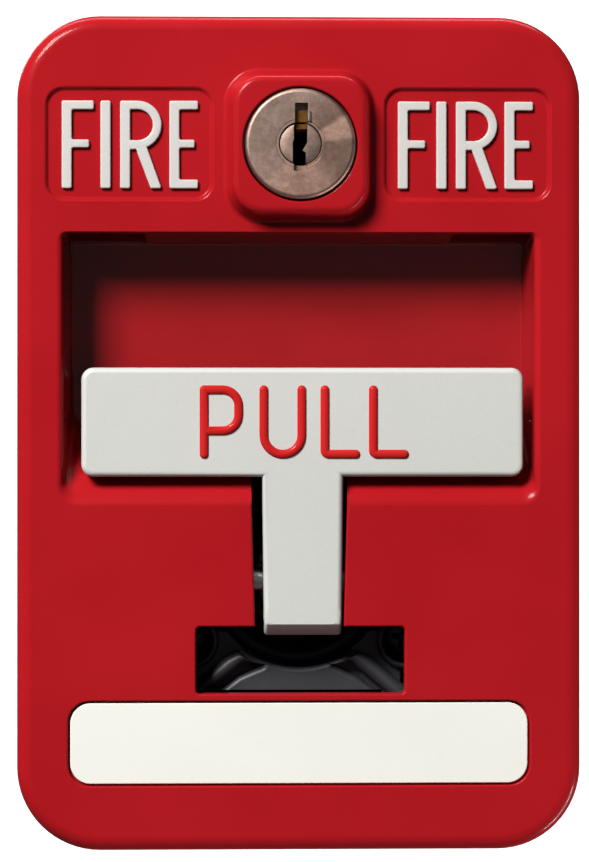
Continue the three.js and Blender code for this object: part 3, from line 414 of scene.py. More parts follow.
def finish_piece(o, name, body, materials, sharp_angle, stands_for=None):
    """Names, scales, shades and registers a piece that moves with the given body."""
    o.name = name
    o.data.name = name
    o.data.transform(Matrix.Scale(MM, 4))
    mesh = o.data
    mesh.materials.clear()
    for material in materials if isinstance(materials, list) else [materials]:
        mesh.materials.append(material)
    mesh.polygons.foreach_set("use_smooth", [True] * len(mesh.polygons))
    mesh.set_sharp_from_angle(angle=math.radians(sharp_angle))
    modifier = o.modifiers.new("weighted", "WEIGHTED_NORMAL")
    modifier.mode, modifier.weight, modifier.keep_sharp = "FACE_AREA", 60, True
    mesh.update()
    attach(o, body)
    if stands_for:
        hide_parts(stands_for)


def stand_in(o, part, body, materials, sharp_angle):
    """Finishes a piece that takes the place of the CAD part of that name."""
    finish_piece(o, part + "_fine", body, materials, sharp_angle, part)


# ---------------------------------------------------------------- materials
def shade(colour, factor):
    return tuple(c * factor for c in colour)


class Surface:
    """A Principled material and short ways to wire nodes into it."""

    def __init__(self, name):
        self.material = bpy.data.materials.new(name)
        self.material.use_nodes = True
        self.tree = self.material.node_tree
        self.tree.nodes.clear()
        output = self.node("ShaderNodeOutputMaterial")
        self.shader = self.node("ShaderNodeBsdfPrincipled")
        self.tree.links.new(self.shader.outputs[0], output.inputs[0])
        self.place = self.node("ShaderNodeTexCoord").outputs["Object"]

    def node(self, kind):
        return self.tree.nodes.new(kind)

    def plug(self, socket, value):
        if isinstance(value, bpy.types.NodeSocket):
            self.tree.links.new(value, socket)
        else:
            socket.default_value = value

    def set(self, **inputs):
        for name, value in inputs.items():
            self.plug(self.shader.inputs[name.replace("_", " ")], value)

    def noise(self, scale, detail, roughness=0.5, vector=None, stretch=None):
        vector = vector or self.place
        if stretch:
            mapping = self.node("ShaderNodeMapping")
            self.plug(mapping.inputs["Vector"], vector)
            mapping.inputs["Scale"].default_value = stretch
            vector = mapping.outputs[0]
        texture = self.node("ShaderNodeTexNoise")
        self.plug(texture.inputs["Vector"], vector)
        texture.inputs["Scale"].default_value = scale
        texture.inputs["Detail"].default_value = detail
        texture.inputs["Roughness"].default_value = roughness
        return texture.outputs["Fac"]

    def ramp(self, factor, stops):
        """Grey ramp; stops holds (position, level)."""
        node = self.node("ShaderNodeValToRGB")
        self.plug(node.inputs[0], factor)
        elements = node.color_ramp.elements
        while len(elements) > 1:
            elements.remove(elements[-1])
        elements[0].position = stops[0][0]
        elements[0].color = (*[stops[0][1]] * 3, 1)
        for position, level in stops[1:]:
            elements.new(position).color = (level, level, level, 1)
        return node.outputs[0]

    def mix(self, factor, a, b, blend="MIX"):
        node = self.node("ShaderNodeMix")
        node.data_type, node.blend_type = "RGBA", blend
        self.plug(node.inputs[0], factor)
        for i, value in ((6, a), (7, b)):
            is_socket = isinstance(value, bpy.types.NodeSocket)
            self.plug(node.inputs[i], value if is_socket else (*value, 1))
        return node.outputs[2]

    def math(self, operation, a, b=0.0):
        node = self.node("ShaderNodeMath")
        node.operation = operation
        self.plug(node.inputs[0], a)
        self.plug(node.inputs[1], b)
        return node.outputs[0]

    def span(self, value, within=(0.0, 1.0), to=(0.0, 1.0)):
        """Maps the range within, clamped, to another range."""
        node = self.node("ShaderNodeMapRange")
        node.clamp = True
        self.plug(node.inputs[0], value)
        for i, number in enumerate((*within, *to)):
            node.inputs[1 + i].default_value = number
        return node.outputs[0]

    def patches(self, value, within, amount):
        return self.math("MULTIPLY", self.span(value, within), amount)

    def vary(self, centre, value, low, high):
        """Centre plus a swing from low to high that follows a value."""
        return self.math("ADD", self.span(value, to=(low, high)), centre)

    def bump(self, height, strength, distance):
        """Bump from a height; distance in metres."""
        node = self.node("ShaderNodeBump")
        node.inputs["Strength"].default_value = strength
        node.inputs["Distance"].default_value = distance
        self.plug(node.inputs["Height"], height)
        return node.outputs[0]


def make_enamel(name, deep, light, roughness=0.30, peel=0.3, coat=0.13):
    """Glossy paint between two tones, with dark specks and orange peel."""
    m = Surface(name)
    clouds = m.noise(scale=38, detail=2)
    peel_noise = m.noise(scale=900, detail=2)
    colour = m.mix(m.span(clouds, within=(0.35, 0.65)), deep, light)
    specks = m.patches(m.noise(scale=5200, detail=1), within=(0.72, 0.80), amount=0.25)
    colour = m.mix(specks, colour, shade(deep, 0.55))
    fine = m.math("MULTIPLY", m.noise(scale=2600, detail=2), 0.25)
    m.set(Base_Color=colour,
          Roughness=m.vary(roughness, m.noise(scale=120, detail=3, roughness=0.6), -0.03, 0.05),
          Normal=m.bump(m.math("ADD", peel_noise, fine), strength=peel, distance=0.00004),
          Coat_Weight=coat, Coat_Roughness=0.07, Specular_IOR_Level=0.04)
    return m.material


def make_white(name, base, roughness, speck):
    """White plastic with specks and a little grime; speck is how strong the specks are."""
    m = Surface(name)
    clouds = m.span(m.noise(scale=55, detail=3), within=(0.3, 0.7))
    colour = m.mix(clouds, shade(base, 0.965), base)
    specks = m.noise(scale=3400, detail=2, roughness=0.6)
    colour = m.mix(m.patches(specks, within=(0.60, 0.72), amount=speck), colour, shade(base, 0.72))
    grime = m.noise(scale=160, detail=5, roughness=0.65)
    colour = m.mix(m.patches(grime, within=(0.62, 0.85), amount=0.12), colour, (0.36, 0.33, 0.28))
    coarse = m.math("MULTIPLY", m.noise(scale=700, detail=2), 0.6)
    height = m.math("ADD", m.noise(scale=2400, detail=3, roughness=0.6), coarse)
    m.set(Base_Color=colour,
          Roughness=m.vary(roughness, m.noise(scale=900, detail=2), -0.05, 0.06),
          Normal=m.bump(height, strength=0.35, distance=0.00005))
    return m.material


def make_metal(name, base, tint, roughness, scratch=0.25, stretch=(1, 1, 1), grain=1500,
               spots=None, spot_amount=0.0):
    """Worn metal; grain is the scratch scale and stretch draws the scratches out."""
    m = Surface(name)
    clouds = m.noise(scale=90, detail=4, roughness=0.6)
    colour = m.mix(m.span(clouds, within=(0.3, 0.7)), base, tint)
    if spots:
        spot_noise = m.noise(scale=420, detail=5, roughness=0.7)
        amount = m.patches(spot_noise, within=(0.60, 0.75), amount=spot_amount)
        colour = m.mix(amount, colour, spots)
    scratches = m.noise(scale=grain, detail=4, roughness=0.6, stretch=stretch)
    m.set(Base_Color=colour, Metallic=1.0, Roughness=m.vary(roughness, scratches, -0.07, 0.09),
          Normal=m.bump(scratches, strength=scratch, distance=0.00003))
    return m.material


def make_plastic(name, base, roughness, bump=0.25, grain=1400, tint=None):
    """Dark or coloured plastic under a trace of dust."""
    m = Surface(name)
    clouds = m.span(m.noise(scale=70, detail=3), within=(0.3, 0.7))
    colour = m.mix(clouds, base, tint or tuple(min(1, c * 1.5 + 0.002) for c in base))
    dust = m.noise(scale=700, detail=5, roughness=0.7)
    colour = m.mix(m.patches(dust, within=(0.60, 0.82), amount=0.05), colour, (0.35, 0.33, 0.30))
    height = m.noise(scale=grain, detail=3, roughness=0.6)
    m.set(Base_Color=colour,
          Roughness=m.vary(roughness, m.noise(scale=260, detail=4, roughness=0.6), -0.05, 0.09),
          Normal=m.bump(height, strength=bump, distance=0.00003))
    return m.material


# painted highlights: brightness round the lock's face where the light catches it, (turn from 0 to 1,
# level)
LOCK_PAINTED_HIGHLIGHTS = [
    (0.0, 0.50), (0.128, 0.48), (0.146, 0.60), (0.19, 0.65), (0.232, 0.54), (0.262, 0.53),
    (0.30, 0.63), (0.345, 0.575), (0.372, 0.44), (0.43, 0.34), (0.508, 0.305), (0.524, 0.58),
    (0.586, 0.62), (0.60, 0.285), (0.665, 0.37), (0.74, 0.55), (0.86, 0.51), (1.0, 0.48)]
# where the face takes a warmer tone: (turn, amount)
TURNED_WARMTH = [(0.0, 0.0), (0.12, 0.0), (0.17, 0.8), (0.30, 1.0), (0.60, 1.0), (0.64, 0.7),
                 (0.72, 0.0), (1.0, 0.0)]


def make_turned():
    """Nickelled brass faced on a lathe: fine rings, and bright sectors about the lock's axis painted
    in as highlights.
    """
    m = Surface("lock_nickel")
    base, tint = (0.335, 0.243, 0.207), (0.262, 0.180, 0.147)
    rings_per_metre = 2600.0

    split = m.node("ShaderNodeSeparateXYZ")
    m.plug(split.inputs[0], m.place)
    x = split.outputs["X"]
    z = m.math("SUBTRACT", split.outputs["Z"], LOCK_Z * MM)
    squares = m.math("ADD", m.math("MULTIPLY", x, x), m.math("MULTIPLY", z, z))
    radius = m.math("SQRT", squares)
    polar = m.node("ShaderNodeCombineXYZ")
    m.plug(polar.inputs[0], m.math("MULTIPLY", radius, rings_per_metre))
    m.plug(polar.inputs[1], m.math("MULTIPLY", m.math("ARCTAN2", z, x), 0.35))
    rings = m.noise(scale=5.0, detail=6, roughness=0.75, vector=polar.outputs[0])
    clouds = m.span(m.noise(scale=230, detail=4, roughness=0.6), within=(0.3, 0.72))
    colour = m.mix(clouds, base, tint)
    ring_marks = m.patches(rings, within=(0.55, 0.8), amount=0.35)
    colour = m.mix(ring_marks, colour, shade(tint, 0.6))

    # painted highlights: sectors lighter or darker as the light catches them, their borders made
    # ragged by noise
    turn = m.math("ADD", m.math("MULTIPLY", m.math("ARCTAN2", z, x), 1 / (2 * PI)), 0.5)
    ragged = m.math("SUBTRACT", m.noise(scale=420, detail=3, roughness=0.6), 0.5)
    turn = m.math("ADD", turn, m.math("MULTIPLY", ragged, 0.022))
    sectors = m.ramp(turn, LOCK_PAINTED_HIGHLIGHTS)
    outside_plug = m.span(radius, within=(0.0031, 0.0034))
    gain = m.mix(outside_plug, (0.5, 0.5, 0.5), sectors)
    colour = m.mix(1.0, colour, gain, "MULTIPLY")
    warmth = m.math("MULTIPLY", m.ramp(turn, TURNED_WARMTH), outside_plug)
    colour = m.mix(warmth, colour, m.mix(1.0, colour, (1.0, 0.90, 0.85), "MULTIPLY"))

    # grain and pits, strongest in blue
    grain_noise = m.noise(scale=1900, detail=4, roughness=0.7)
    grain = m.span(grain_noise, within=(0.34, 0.66), to=(1.66, 2.30))
    pit_noise = m.noise(scale=900, detail=3, roughness=0.6)
    pits = m.span(pit_noise, within=(0.35, 0.65), to=(0.90, 1.08))
    grain = m.math("MULTIPLY", grain, pits)
    tone = m.node("ShaderNodeCombineXYZ")
    for channel, factor in enumerate((1.0, 0.975, 0.96)):
        m.plug(tone.inputs[channel], m.math("MULTIPLY", grain, factor))
    colour = m.mix(1.0, colour, tone.outputs[0], "MULTIPLY")

    tangent = m.node("ShaderNodeTangent")
    tangent.direction_type, tangent.axis = "RADIAL", "Y"
    m.set(Base_Color=colour, Metallic=1.0, Roughness=m.vary(0.50, rings, -0.06, 0.08),
          Anisotropic=0.12, Normal=m.bump(rings, strength=0.35, distance=0.00003),
          Tangent=tangent.outputs[0])
    return m.material


def make_floor_paper():
    """Pale paper that glows for the camera but throws full colour on other rays."""
    m = Surface("floor_paper")
    paper = (0.93, 0.93, 0.925)
    clouds = m.span(m.noise(scale=3, detail=2), within=(0.3, 0.7))
    colour = m.mix(clouds, shade(paper, 0.985), paper)
    seen = m.node("ShaderNodeLightPath").outputs["Is Camera Ray"]
    m.set(Base_Color=m.mix(seen, shade(paper, 0.12), colour), Roughness=0.9,
          Specular_IOR_Level=0.1, Emission_Color=(1, 1, 1, 1),
          Emission_Strength=m.math("MULTIPLY", seen, 0.45))
    return m.material


# painted shade: the inside of the hollow cover is a near-black red that stands in for the shade in
# there
COVER_INSIDE_SHADE = make_enamel("cover_inside", (0.040, 0.0045, 0.0045), (0.055, 0.008, 0.007),
                      roughness=0.62, peel=0.8, coat=0.08)
ENAMEL = make_enamel("red_enamel", (0.318, 0.0066, 0.0102), (0.348, 0.0082, 0.0122))
# painted shade: darker copies of the red enamel for the back and the walls of the hand recess stand in
# for the shade there
ENAMEL_RECESS_SHADE = make_enamel("red_enamel_recess", (0.255, 0.0058, 0.0082), (0.278, 0.0070, 0.0098),
                          roughness=0.42, coat=0.85)
ENAMEL_WALL_SHADE = make_enamel("red_enamel_recess_wall", (0.300, 0.0064, 0.0095),
                          (0.325, 0.0078, 0.0112), roughness=0.42, coat=0.85)
LETTER_RED = make_enamel("letter_red", (0.44, 0.012, 0.013), (0.49, 0.015, 0.015), roughness=0.36)
HANDLE_WHITE = make_white("handle_white", (0.512, 0.517, 0.495), roughness=0.45, speck=0.3)
LETTER_WHITE = make_white("letter_white", (0.52, 0.505, 0.488), roughness=0.42, speck=0.12)
LABEL_WHITE = make_white("label_white", (0.745, 0.745, 0.695), roughness=0.38, speck=0.0)
ZINC = make_metal("zinc_plate", (0.56, 0.57, 0.56), (0.50, 0.49, 0.43), roughness=0.38, scratch=0.3,
                  stretch=(1, 1, 0.06), grain=900, spots=(0.40, 0.38, 0.32), spot_amount=0.5)
STEEL = make_metal("steel", (0.50, 0.505, 0.51), (0.40, 0.40, 0.40), roughness=0.30,
                   spots=(0.22, 0.20, 0.17), spot_amount=0.35)
DARK_STEEL = make_metal("dark_steel", (0.115, 0.11, 0.105), (0.075, 0.07, 0.066), roughness=0.42)
SPRING = make_metal("spring_steel", (0.34, 0.345, 0.36), (0.28, 0.26, 0.24), roughness=0.30,
                    scratch=0.3, stretch=(0.08, 1, 1), grain=1200)
BRASS = make_metal("brass", (0.66, 0.46, 0.17), (0.52, 0.34, 0.12), roughness=0.30,
                   stretch=(1, 1, 0.1), grain=1000, spots=(0.25, 0.15, 0.06), spot_amount=0.45)
COPPER = make_metal("copper", (0.72, 0.36, 0.20), (0.50, 0.24, 0.13), roughness=0.32,
                    scratch=0.3, grain=2200)
SOLDER = make_metal("solder", (0.60, 0.60, 0.59), (0.48, 0.48, 0.47), roughness=0.25,
                    scratch=0.4, grain=700)
TURNED = make_turned()
NICKEL = make_metal("bright_nickel", (0.66, 0.62, 0.56), (0.50, 0.46, 0.40), roughness=0.34)
WAFER = make_metal("wafer_brass", (0.30, 0.135, 0.035), (0.19, 0.08, 0.022), roughness=0.42,
                   scratch=0.3, grain=1400)
BLACK = make_plastic("black_plastic", (0.021, 0.022, 0.0265), roughness=0.45, bump=0.9, grain=1500)
# painted shade: near-black for the inside of the keyway, standing in for the shade in it
KEYWAY = make_plastic("keyway_painted_shade", (0.006, 0.005, 0.0045), roughness=0.55)
PHENOLIC = make_plastic("phenolic", (0.045, 0.018, 0.011), roughness=0.42, bump=0.5, grain=1700,
                        tint=(0.075, 0.032, 0.02))
PVC_RED = make_plastic("lead_red", (0.45, 0.018, 0.016), roughness=0.38)
PVC_BLACK = make_plastic("lead_black", (0.016, 0.016, 0.017), roughness=0.36)
PVC_YELLOW = make_plastic("lead_yellow", (0.66, 0.42, 0.03), roughness=0.38)
GREEN = make_metal("ground_green", (0.035, 0.22, 0.06), (0.02, 0.13, 0.035), roughness=0.36,
                   grain=1400)


# ---------------------------------------------------------------- front cover
def pocket(outline, floor_y, edge, fillet, steps):
    """Cutter from the face in to floor_y: rounded mouth, filleted floor unless fillet is 0.
    outline(y, offset) gives its shape at a depth."""
    rings = [lift(outline(FACE, edge), FACE - 2.0)]
    for offset, depth in quarter_round(edge, steps):
        rings.append(lift(outline(FACE + depth, offset), FACE + depth))
    if fillet > 0:
        for rise, narrowing in quarter_round(fillet, steps):
            y = floor_y - rise
            rings.append(lift(outline(y, -narrowing), y))
    else:
        rings.append(lift(outline(floor_y, 0), floor_y))
    return loft(rings)


def shell_outline(y, offset):
    """The cover's outside, tapering 0.3 mm from rim to face."""
    grow = offset - 0.3 * (RIM - y) / 25.0
    return rounded_rect(HALF_WIDTH, -HALF_HEIGHT, HALF_HEIGHT, COVER_CORNER, 16, grow=grow)


def cover_shell():
    # outside, from the rim to the rounded front edge: (offset, y)
    rings = [lift(shell_outline(RIM, offset), y)
             for offset, y in ((-0.35, RIM), (-0.1, RIM - 0.08), (0, RIM - 0.35))]
    rings.append(lift(shell_outline(-12, 0), -12))
    for depth, narrowing in quarter_round(2.3, 8):
        y = FACE + depth
        rings.append(lift(shell_outline(y, -narrowing), y))
    cover = loft(rings)
    # hollow, from behind the rim to its rounded inner corners
    hollow = [lift(shell_outline(0, offset), y)
              for offset, y in ((-WALL + 0.3, 0.8), (-WALL + 0.3, RIM), (-WALL, RIM - 0.3))]
    for depth, narrowing in quarter_round(1.8, 5):
        hollow.append(lift(shell_outline(0, -WALL - 0.4 - narrowing), FACE + 2.5 + depth))
    return cut(cover, loft(hollow))


def hub_outline(y, steps):
    """(y, z) outline, round about the handle pin and running straight forward to y."""
    return ([(y, PIN_Z - HUB_RADIUS)] + arc(PIN_Y, PIN_Z, HUB_RADIUS, -90, 90, steps)
            + [(y, PIN_Z + HUB_RADIUS)])


# sloping side of the lock boss from the root up: (growth of the outline, y from the face)
BOSS_SLOPE = [(1.6, 1.0), (1.9, 0.0), (1.55, -0.14), (1.32, -0.38), (1.15, -0.75), (0.86, -1.5),
              (0.6, -2.2), (0.42, -2.75)]


def add_cover_bosses(cover):
    # walls of the hand recess, seen from behind
    def walls(offset):
        return rounded_rect(39.1 + offset, -12.0 - offset, 31.5 + offset, 1.4 + offset * 0.5, 5)
    rings = [lift(walls(0), FACE + 2)]
    for depth, narrowing in quarter_round(0.9, 4):
        rings.append(lift(walls(-narrowing), RECESS_BACK + 2 - depth))
    add(cover, loft(rings))

    # lock boss
    profile = list(BOSS_SLOPE)
    for i in range(7):
        t = PI / 2 * i / 6
        growth = 0.40 - 0.15 * i / 6 - 0.85 * (1 - math.cos(t))
        profile.append((growth, -2.85 - 0.85 * math.sin(t)))
    add(cover, loft([lift(rounded_rect(9.45 + g, LOCK_Z - 9.7 - g, LOCK_Z + 9.7 + g,
                                       3.9 + g * 0.8, 10), FACE + y) for g, y in profile]))

    # bosses for the handle pin
    for side, _ in SIDES:
        x0, x1 = on_side(side, 7.3, 12.4)
        add(cover, prism(hub_outline(FACE + 2, 14), x0, x1, 0.2, "X", 2))


def cut_hand_recess(cover):
    # softly rounded sides, square ceiling, floor sloping up towards the back
    def recess(y, offset):
        t = min(1, max(0, (y - FACE) / (RECESS_BACK - FACE)))
        floor = -9.85 + max(0.0, y - FACE) * RAMP
        ceiling = 29.5 - 0.9 * t + (offset * 0.28 if offset > 0 else offset)
        return rounded_rect(34.9 - 0.9 * t + offset, floor - offset * (1.0 if offset > 0 else 0.6),
                            ceiling, (max(0.9 + offset * 0.5, 0.25), max(2.0 + offset, 0.3)), 8)
    cut(cover, pocket(recess, RECESS_BACK, edge=0.95, fillet=0.35, steps=9))

    # the sloping floor is cored out behind, beside a solid block for the detent screw
    core = [(-22.3, -10), (-11.0, -10), (-11.0, 0), (-13.35, 0)]
    for x0, x1 in ((-33, -9), (9, 33)):
        cut(cover, soft_prism(core, [0.8, 0.01, 0.01, 0.8], x0, x1, 0.5, "X"))
    add(cover, box(-9, 9, -16, -10.4, -12.0, -7.5, 0.4))

    # openings in the ceiling
    for side, _ in SIDES:
        x0, x1 = on_side(side, 22.8, 34.3)
        cut(cover, box(x0, x1, FACE + 0.75, RECESS_BACK - 0.35, 26.5, 32.5, 0.2))

    # slot for the handle's stem, the window under it and the bore for the handle pin
    def slot(y, offset):
        half = [(6.5 + offset, -30.0), (7.1 + offset, -8.35), (7.1 + offset, -3.4)]
        left = [(-x, z) for x, z in half]
        return round_corners([left[0]] + half + left[:0:-1], 0, 1)

    def window(y, offset):
        return rounded_rect(15.42 + offset, -38.5 - offset, -28.6 + offset,
                            0.6 + max(offset, -0.4), 5, x_mid=0.15)
    cut(cover, pocket(slot, -16.9, edge=0.4, fillet=0, steps=4))
    cut(cover, pocket(window, FACE + 4, edge=0.35, fillet=0, steps=4))
    cut(cover, bore(2.06, -14, 14, "X", (PIN_Y, PIN_Z), 28))


LEGEND_FLOOR = FACE + 0.54
LABEL_Z, LABEL_HALF_WIDTH, LABEL_HALF_HEIGHT = -45.8, 33.8, 5.95
LABEL_GAP = 0.32


def cut_face_seats(cover):
    # panels of the two legends, with sloping sides
    for x_mid in (-25.1, 24.85):
        def panel(y, offset):
            grow = offset + max(0.0, LEGEND_FLOOR - y) * 0.55
            return rounded_rect(12.0, 34.65, 50.65, 2.3, 8, x_mid, grow)
        cut(cover, pocket(panel, LEGEND_FLOOR, edge=0.28, fillet=0.24, steps=5))

    def label_seat(y, offset):
        return rounded_rect(LABEL_HALF_WIDTH + LABEL_GAP,
                            LABEL_Z - LABEL_HALF_HEIGHT - LABEL_GAP,
                            LABEL_Z + LABEL_HALF_HEIGHT + LABEL_GAP, 3.2, 8, grow=offset)
    cut(cover, pocket(label_seat, FACE + 0.9, edge=0.25, fillet=0.15, steps=4))
    cut(cover, drill(BARREL_RADIUS + 0.28, LOCK_FRONT, FACE + 5, 0, LOCK_Z, 64, flare=0.3))


def shape_cover_hinge(cover):
    axis = (HINGE_Y, HINGE_Z)
    for side, _ in SIDES:
        for near, far in ((19.4, 22.6), (29.4, 32.6)):
            x0, x1 = on_side(side, near, far)
            add(cover, rod(2.6, x0, x1, "X", axis, 0.25, 28))
    cut(cover, box(-36, 36, -1.9, 1, -64, -57.4))
    for side, _ in SIDES:
        x0, x1 = on_side(side, 22.6, 29.4)
        cut(cover, box(x0, x1, -6.4, 1, -64, -55, 0.6))
        x0, x1 = on_side(side, 19, 33)
        cut(cover, bore(1.5, x0, x1, "X", axis, 24))


def cover_zone(c):
    """Material slot for a face centre: 1 hollow, 2 back of the recess, 3 recess walls; all three take
    darker paint as painted shade.
    """
    qx = abs(c.x) - (HALF_WIDTH - COVER_CORNER)
    qz = abs(c.z) - (HALF_HEIGHT - COVER_CORNER)
    from_outline = math.hypot(max(qx, 0), max(qz, 0)) + min(max(qx, qz), 0) - COVER_CORNER
    recessed = (abs(c.x) < 35.0 and -10.2 < c.z < 29.9 and c.y < RECESS_BACK + 0.1
                and c.z > -9.9 + (c.y - FACE) * RAMP - 0.4)
    if not recessed:
        return 1 if c.y > FACE + 2.2 and from_outline < -1.4 else 0
    if c.y > RECESS_BACK - 0.7:
        return 2
    return 3 if c.y > FACE + 0.95 and (abs(c.x) > 33.4 or c.z > 28.4) else 0


def build_cover():
    cover = cover_shell()
    add_cover_bosses(cover)
    cut_hand_recess(cover)
    cut_face_seats(cover)
    cut(cover, bore(1.2, -13, -8.6, "Z", (DETENT_X, DETENT_Y), 16))
    shape_cover_hinge(cover)
    tidy(cover, 0.006)
    zones = [cover_zone(p.center) for p in cover.data.polygons]
    # slots 1 to 3 are painted shade: the hollow inside and the back and walls of the hand recess
    stand_in(cover, "front_cover", "cover",
             [ENAMEL, COVER_INSIDE_SHADE, ENAMEL_RECESS_SHADE, ENAMEL_WALL_SHADE], 33)
    for polygon, zone in zip(cover.data.polygons, zones):
        polygon.material_index = zone


# ---------------------------------------------------------------- raised legends and label
def letter_mesh(outlines):
    """Flat-topped letter centred on y = 0: (x, z) outside first, then any counter."""
    height, edge = 0.85, 0.2
    curve = bpy.data.curves.new("letter", "CURVE")
    curve.dimensions, curve.fill_mode = "2D", "BOTH"
    curve.extrude = height / 2
    curve.bevel_depth, curve.bevel_resolution, curve.offset = edge, 3, -edge
    for points in outlines:
        spline = curve.splines.new("POLY")
        spline.points.add(len(points) - 1)
        for point, (x, z) in zip(spline.points, points):
            point.co = (x, z, 0, 1)
        spline.use_cyclic_u = True
    flat = bpy.data.objects.new("letter", curve)
    bpy.context.scene.collection.objects.link(flat)
    mesh = evaluated_mesh(flat)
    bpy.data.objects.remove(flat)
    bpy.data.curves.remove(curve)
    mesh.transform(rotation("X", 90))
    bm = bmesh.new()
    bm.from_mesh(mesh)
    bpy.data.meshes.remove(mesh)
    bmesh.ops.remove_doubles(bm, verts=bm.verts, dist=0.002)
    bmesh.ops.recalc_face_normals(bm, faces=bm.faces)
    return new_object(bm)


def fire_outlines():
    """Outlines of F, I, R and E, each from its lower left corner."""
    height, stem, bar, corner = 12.95, 1.5, 1.32, 0.28
    under_bar = height - bar

    def bowl(radius, start):
        return arc(2.55, 9.38, radius, start, 90, 20)

    letter_f = [(0, 0), (stem, 0), (stem, 6.0), (4.05, 6.0), (4.05, 7.2), (stem, 7.2),
                (stem, under_bar), (4.75, under_bar), (4.75, height), (0, height)]
    letter_i = rect(0, 1.52, 0, height)
    letter_r = ([(0, 0), (stem, 0), (stem, 5.75), (2.35, 5.75), (4.5, 0), (6.15, 0)]
                + bowl(3.57, -66.9) + [(0, height)])
    r_corners = [corner, corner, 0.1, 0.1, corner, corner] + [0] * 21 + [corner]
    r_counter = [(stem, 7.11)] + bowl(2.27, -90) + [(stem, 11.65)]
    letter_e = [(0, 0), (4.25, 0), (4.25, bar), (stem, bar), (stem, 6.0), (3.75, 6.0), (3.75, 7.2),
                (stem, 7.2), (stem, under_bar), (4.25, under_bar), (4.25, height), (0, height)]
    return ([round_corners(letter_f, corner, 4)],
            [round_corners(letter_i, corner, 4)],
            [round_corners(letter_r, r_corners, 5),
             round_corners(r_counter, [0.12] + [0] * 21 + [0.12], 5)[::-1]],
            [round_corners(letter_e, corner, 4)])


def build_legend(name, letter_xs):
    letters = [move(letter_mesh(outlines), x, FACE + 0.72 - 0.12, 36.05)
               for outlines, x in zip(fire_outlines(), letter_xs)]
    finish_piece(join(letters), name, "cover", LETTER_WHITE, 40)


def build_label():
    outline = rounded_rect(LABEL_HALF_WIDTH, LABEL_Z - LABEL_HALF_HEIGHT,
                           LABEL_Z + LABEL_HALF_HEIGHT, 3.0, 10)
    label = prism(outline, FACE + 0.35, FACE + 0.85, 0.16, steps=4)
    stand_in(label, "label_plate", "cover", LABEL_WHITE, 40)


# ---------------------------------------------------------------- lock
def build_lock_barrel():
    front, radius, neck = LOCK_FRONT, BARREL_RADIUS, 7.4
    profile = [(0, front - 0.52), (3.55, front - 0.52), (3.62, front - 0.58),
               (radius - 0.62, front - 0.62), (radius - 0.42, front - 0.60),
               (radius - 0.2, front - 0.50), (radius - 0.05, front - 0.32),
               (radius, front - 0.1), (radius, FACE + 1.3), (radius - 0.2, FACE + 1.5),
               (neck, FACE + 1.5)]
    profile += thread(neck, 0.45, 1.0, FACE + 2.0, -10.6, 6) + [(7.05, -10.2), (0, -10.2)]
    barrel = move(lathe(profile, 96), 0, 0, LOCK_Z)
    cut(barrel, drill(PLUG_RADIUS + 0.06, front - 0.6, -9.0, 0, LOCK_Z, 64, flare=0.12))
    # slots above and below the plug: x range, z range from the axis, corner radii, depth
    for x0, x1, z0, z1, corners, depth in (
            (-0.8, 1.12, 1.0, 5.95, (0.05, 0.05, 0.15, 0.15), 1.15),
            (-1.0, 1.0, -4.05, -1.0, (0.3, 0.3, 0.05, 0.05), 0.9)):
        outline = round_corners(rect(x0, x1, LOCK_Z + z0, LOCK_Z + z1), corners, 4)
        cut(barrel, slab(outline, front - 2, front + depth))
    tidy(barrel)
    stand_in(barrel, "lock_barrel", "cover", TURNED, 38)


# keyway outline: (x, z from the lock's axis)
KEYWAY_POINTS = [(-1.12, -3.6), (0.82, -3.6), (0.82, -1.3), (0.32, -1.0), (1.02, 0.15),
                 (1.02, 3.6), (-0.95, 3.6), (-0.95, 0.6), (-1.12, 0.2)]


def build_lock_plug():
    front, radius = LOCK_FRONT, PLUG_RADIUS
    plug = lathe([(0, front - 0.28), (radius - 0.35, front - 0.30), (radius - 0.12, front - 0.22),
                  (radius, front), (radius, -9.95), (0, -9.95)], 64)
    move(plug, 0, 0, LOCK_Z)
    add(plug, box(-1.88, 1.88, -10.4, -7.75, LOCK_Z - 1.88, LOCK_Z + 1.88, 0.15))
    keyway = round_corners([(x, LOCK_Z + z) for x, z in KEYWAY_POINTS], 0.06, 3)
    cut(plug, slab(keyway, front - 2, FACE + 8))
    cut(plug, drill(1.4, -14, -7.5, 0, LOCK_Z, 24))
    tidy(plug)
    # faces inside the keyway take the near-black painted shade
    dark = [p.index for p in plug.data.polygons if front + 0.25 < p.center.y < -11
            and math.hypot(p.center.x, p.center.z - LOCK_Z) < radius - 0.25]
    stand_in(plug, "lock_plug", "lock", [TURNED, KEYWAY], 38)
    for i in dark:
        plug.data.polygons[i].material_index = 1


def build_lock_slot_parts():
    """Brass tongue and bright lip standing in the barrel's upper slot."""
    tongue = soft_prism(rect(-0.74, 1.04, LOCK_Z + 3.17, LOCK_Z + 4.85), 0.05,
                        LOCK_FRONT + 0.35, LOCK_FRONT + 1.1, 0.05)
    finish_piece(tongue, "lock_slot_tongue", "cover", WAFER, 40)
    points = [(1.06, 3.2), (1.58, 3.2), (1.52, 4.7), (1.22, 4.95), (1.06, 4.95)]
    lip = soft_prism([(x, LOCK_Z + z) for x, z in points], 0.12,
                     LOCK_FRONT - 0.86, LOCK_FRONT + 0.4, 0.14)
    finish_piece(lip, "lock_slot_lip", "cover", NICKEL, 40)


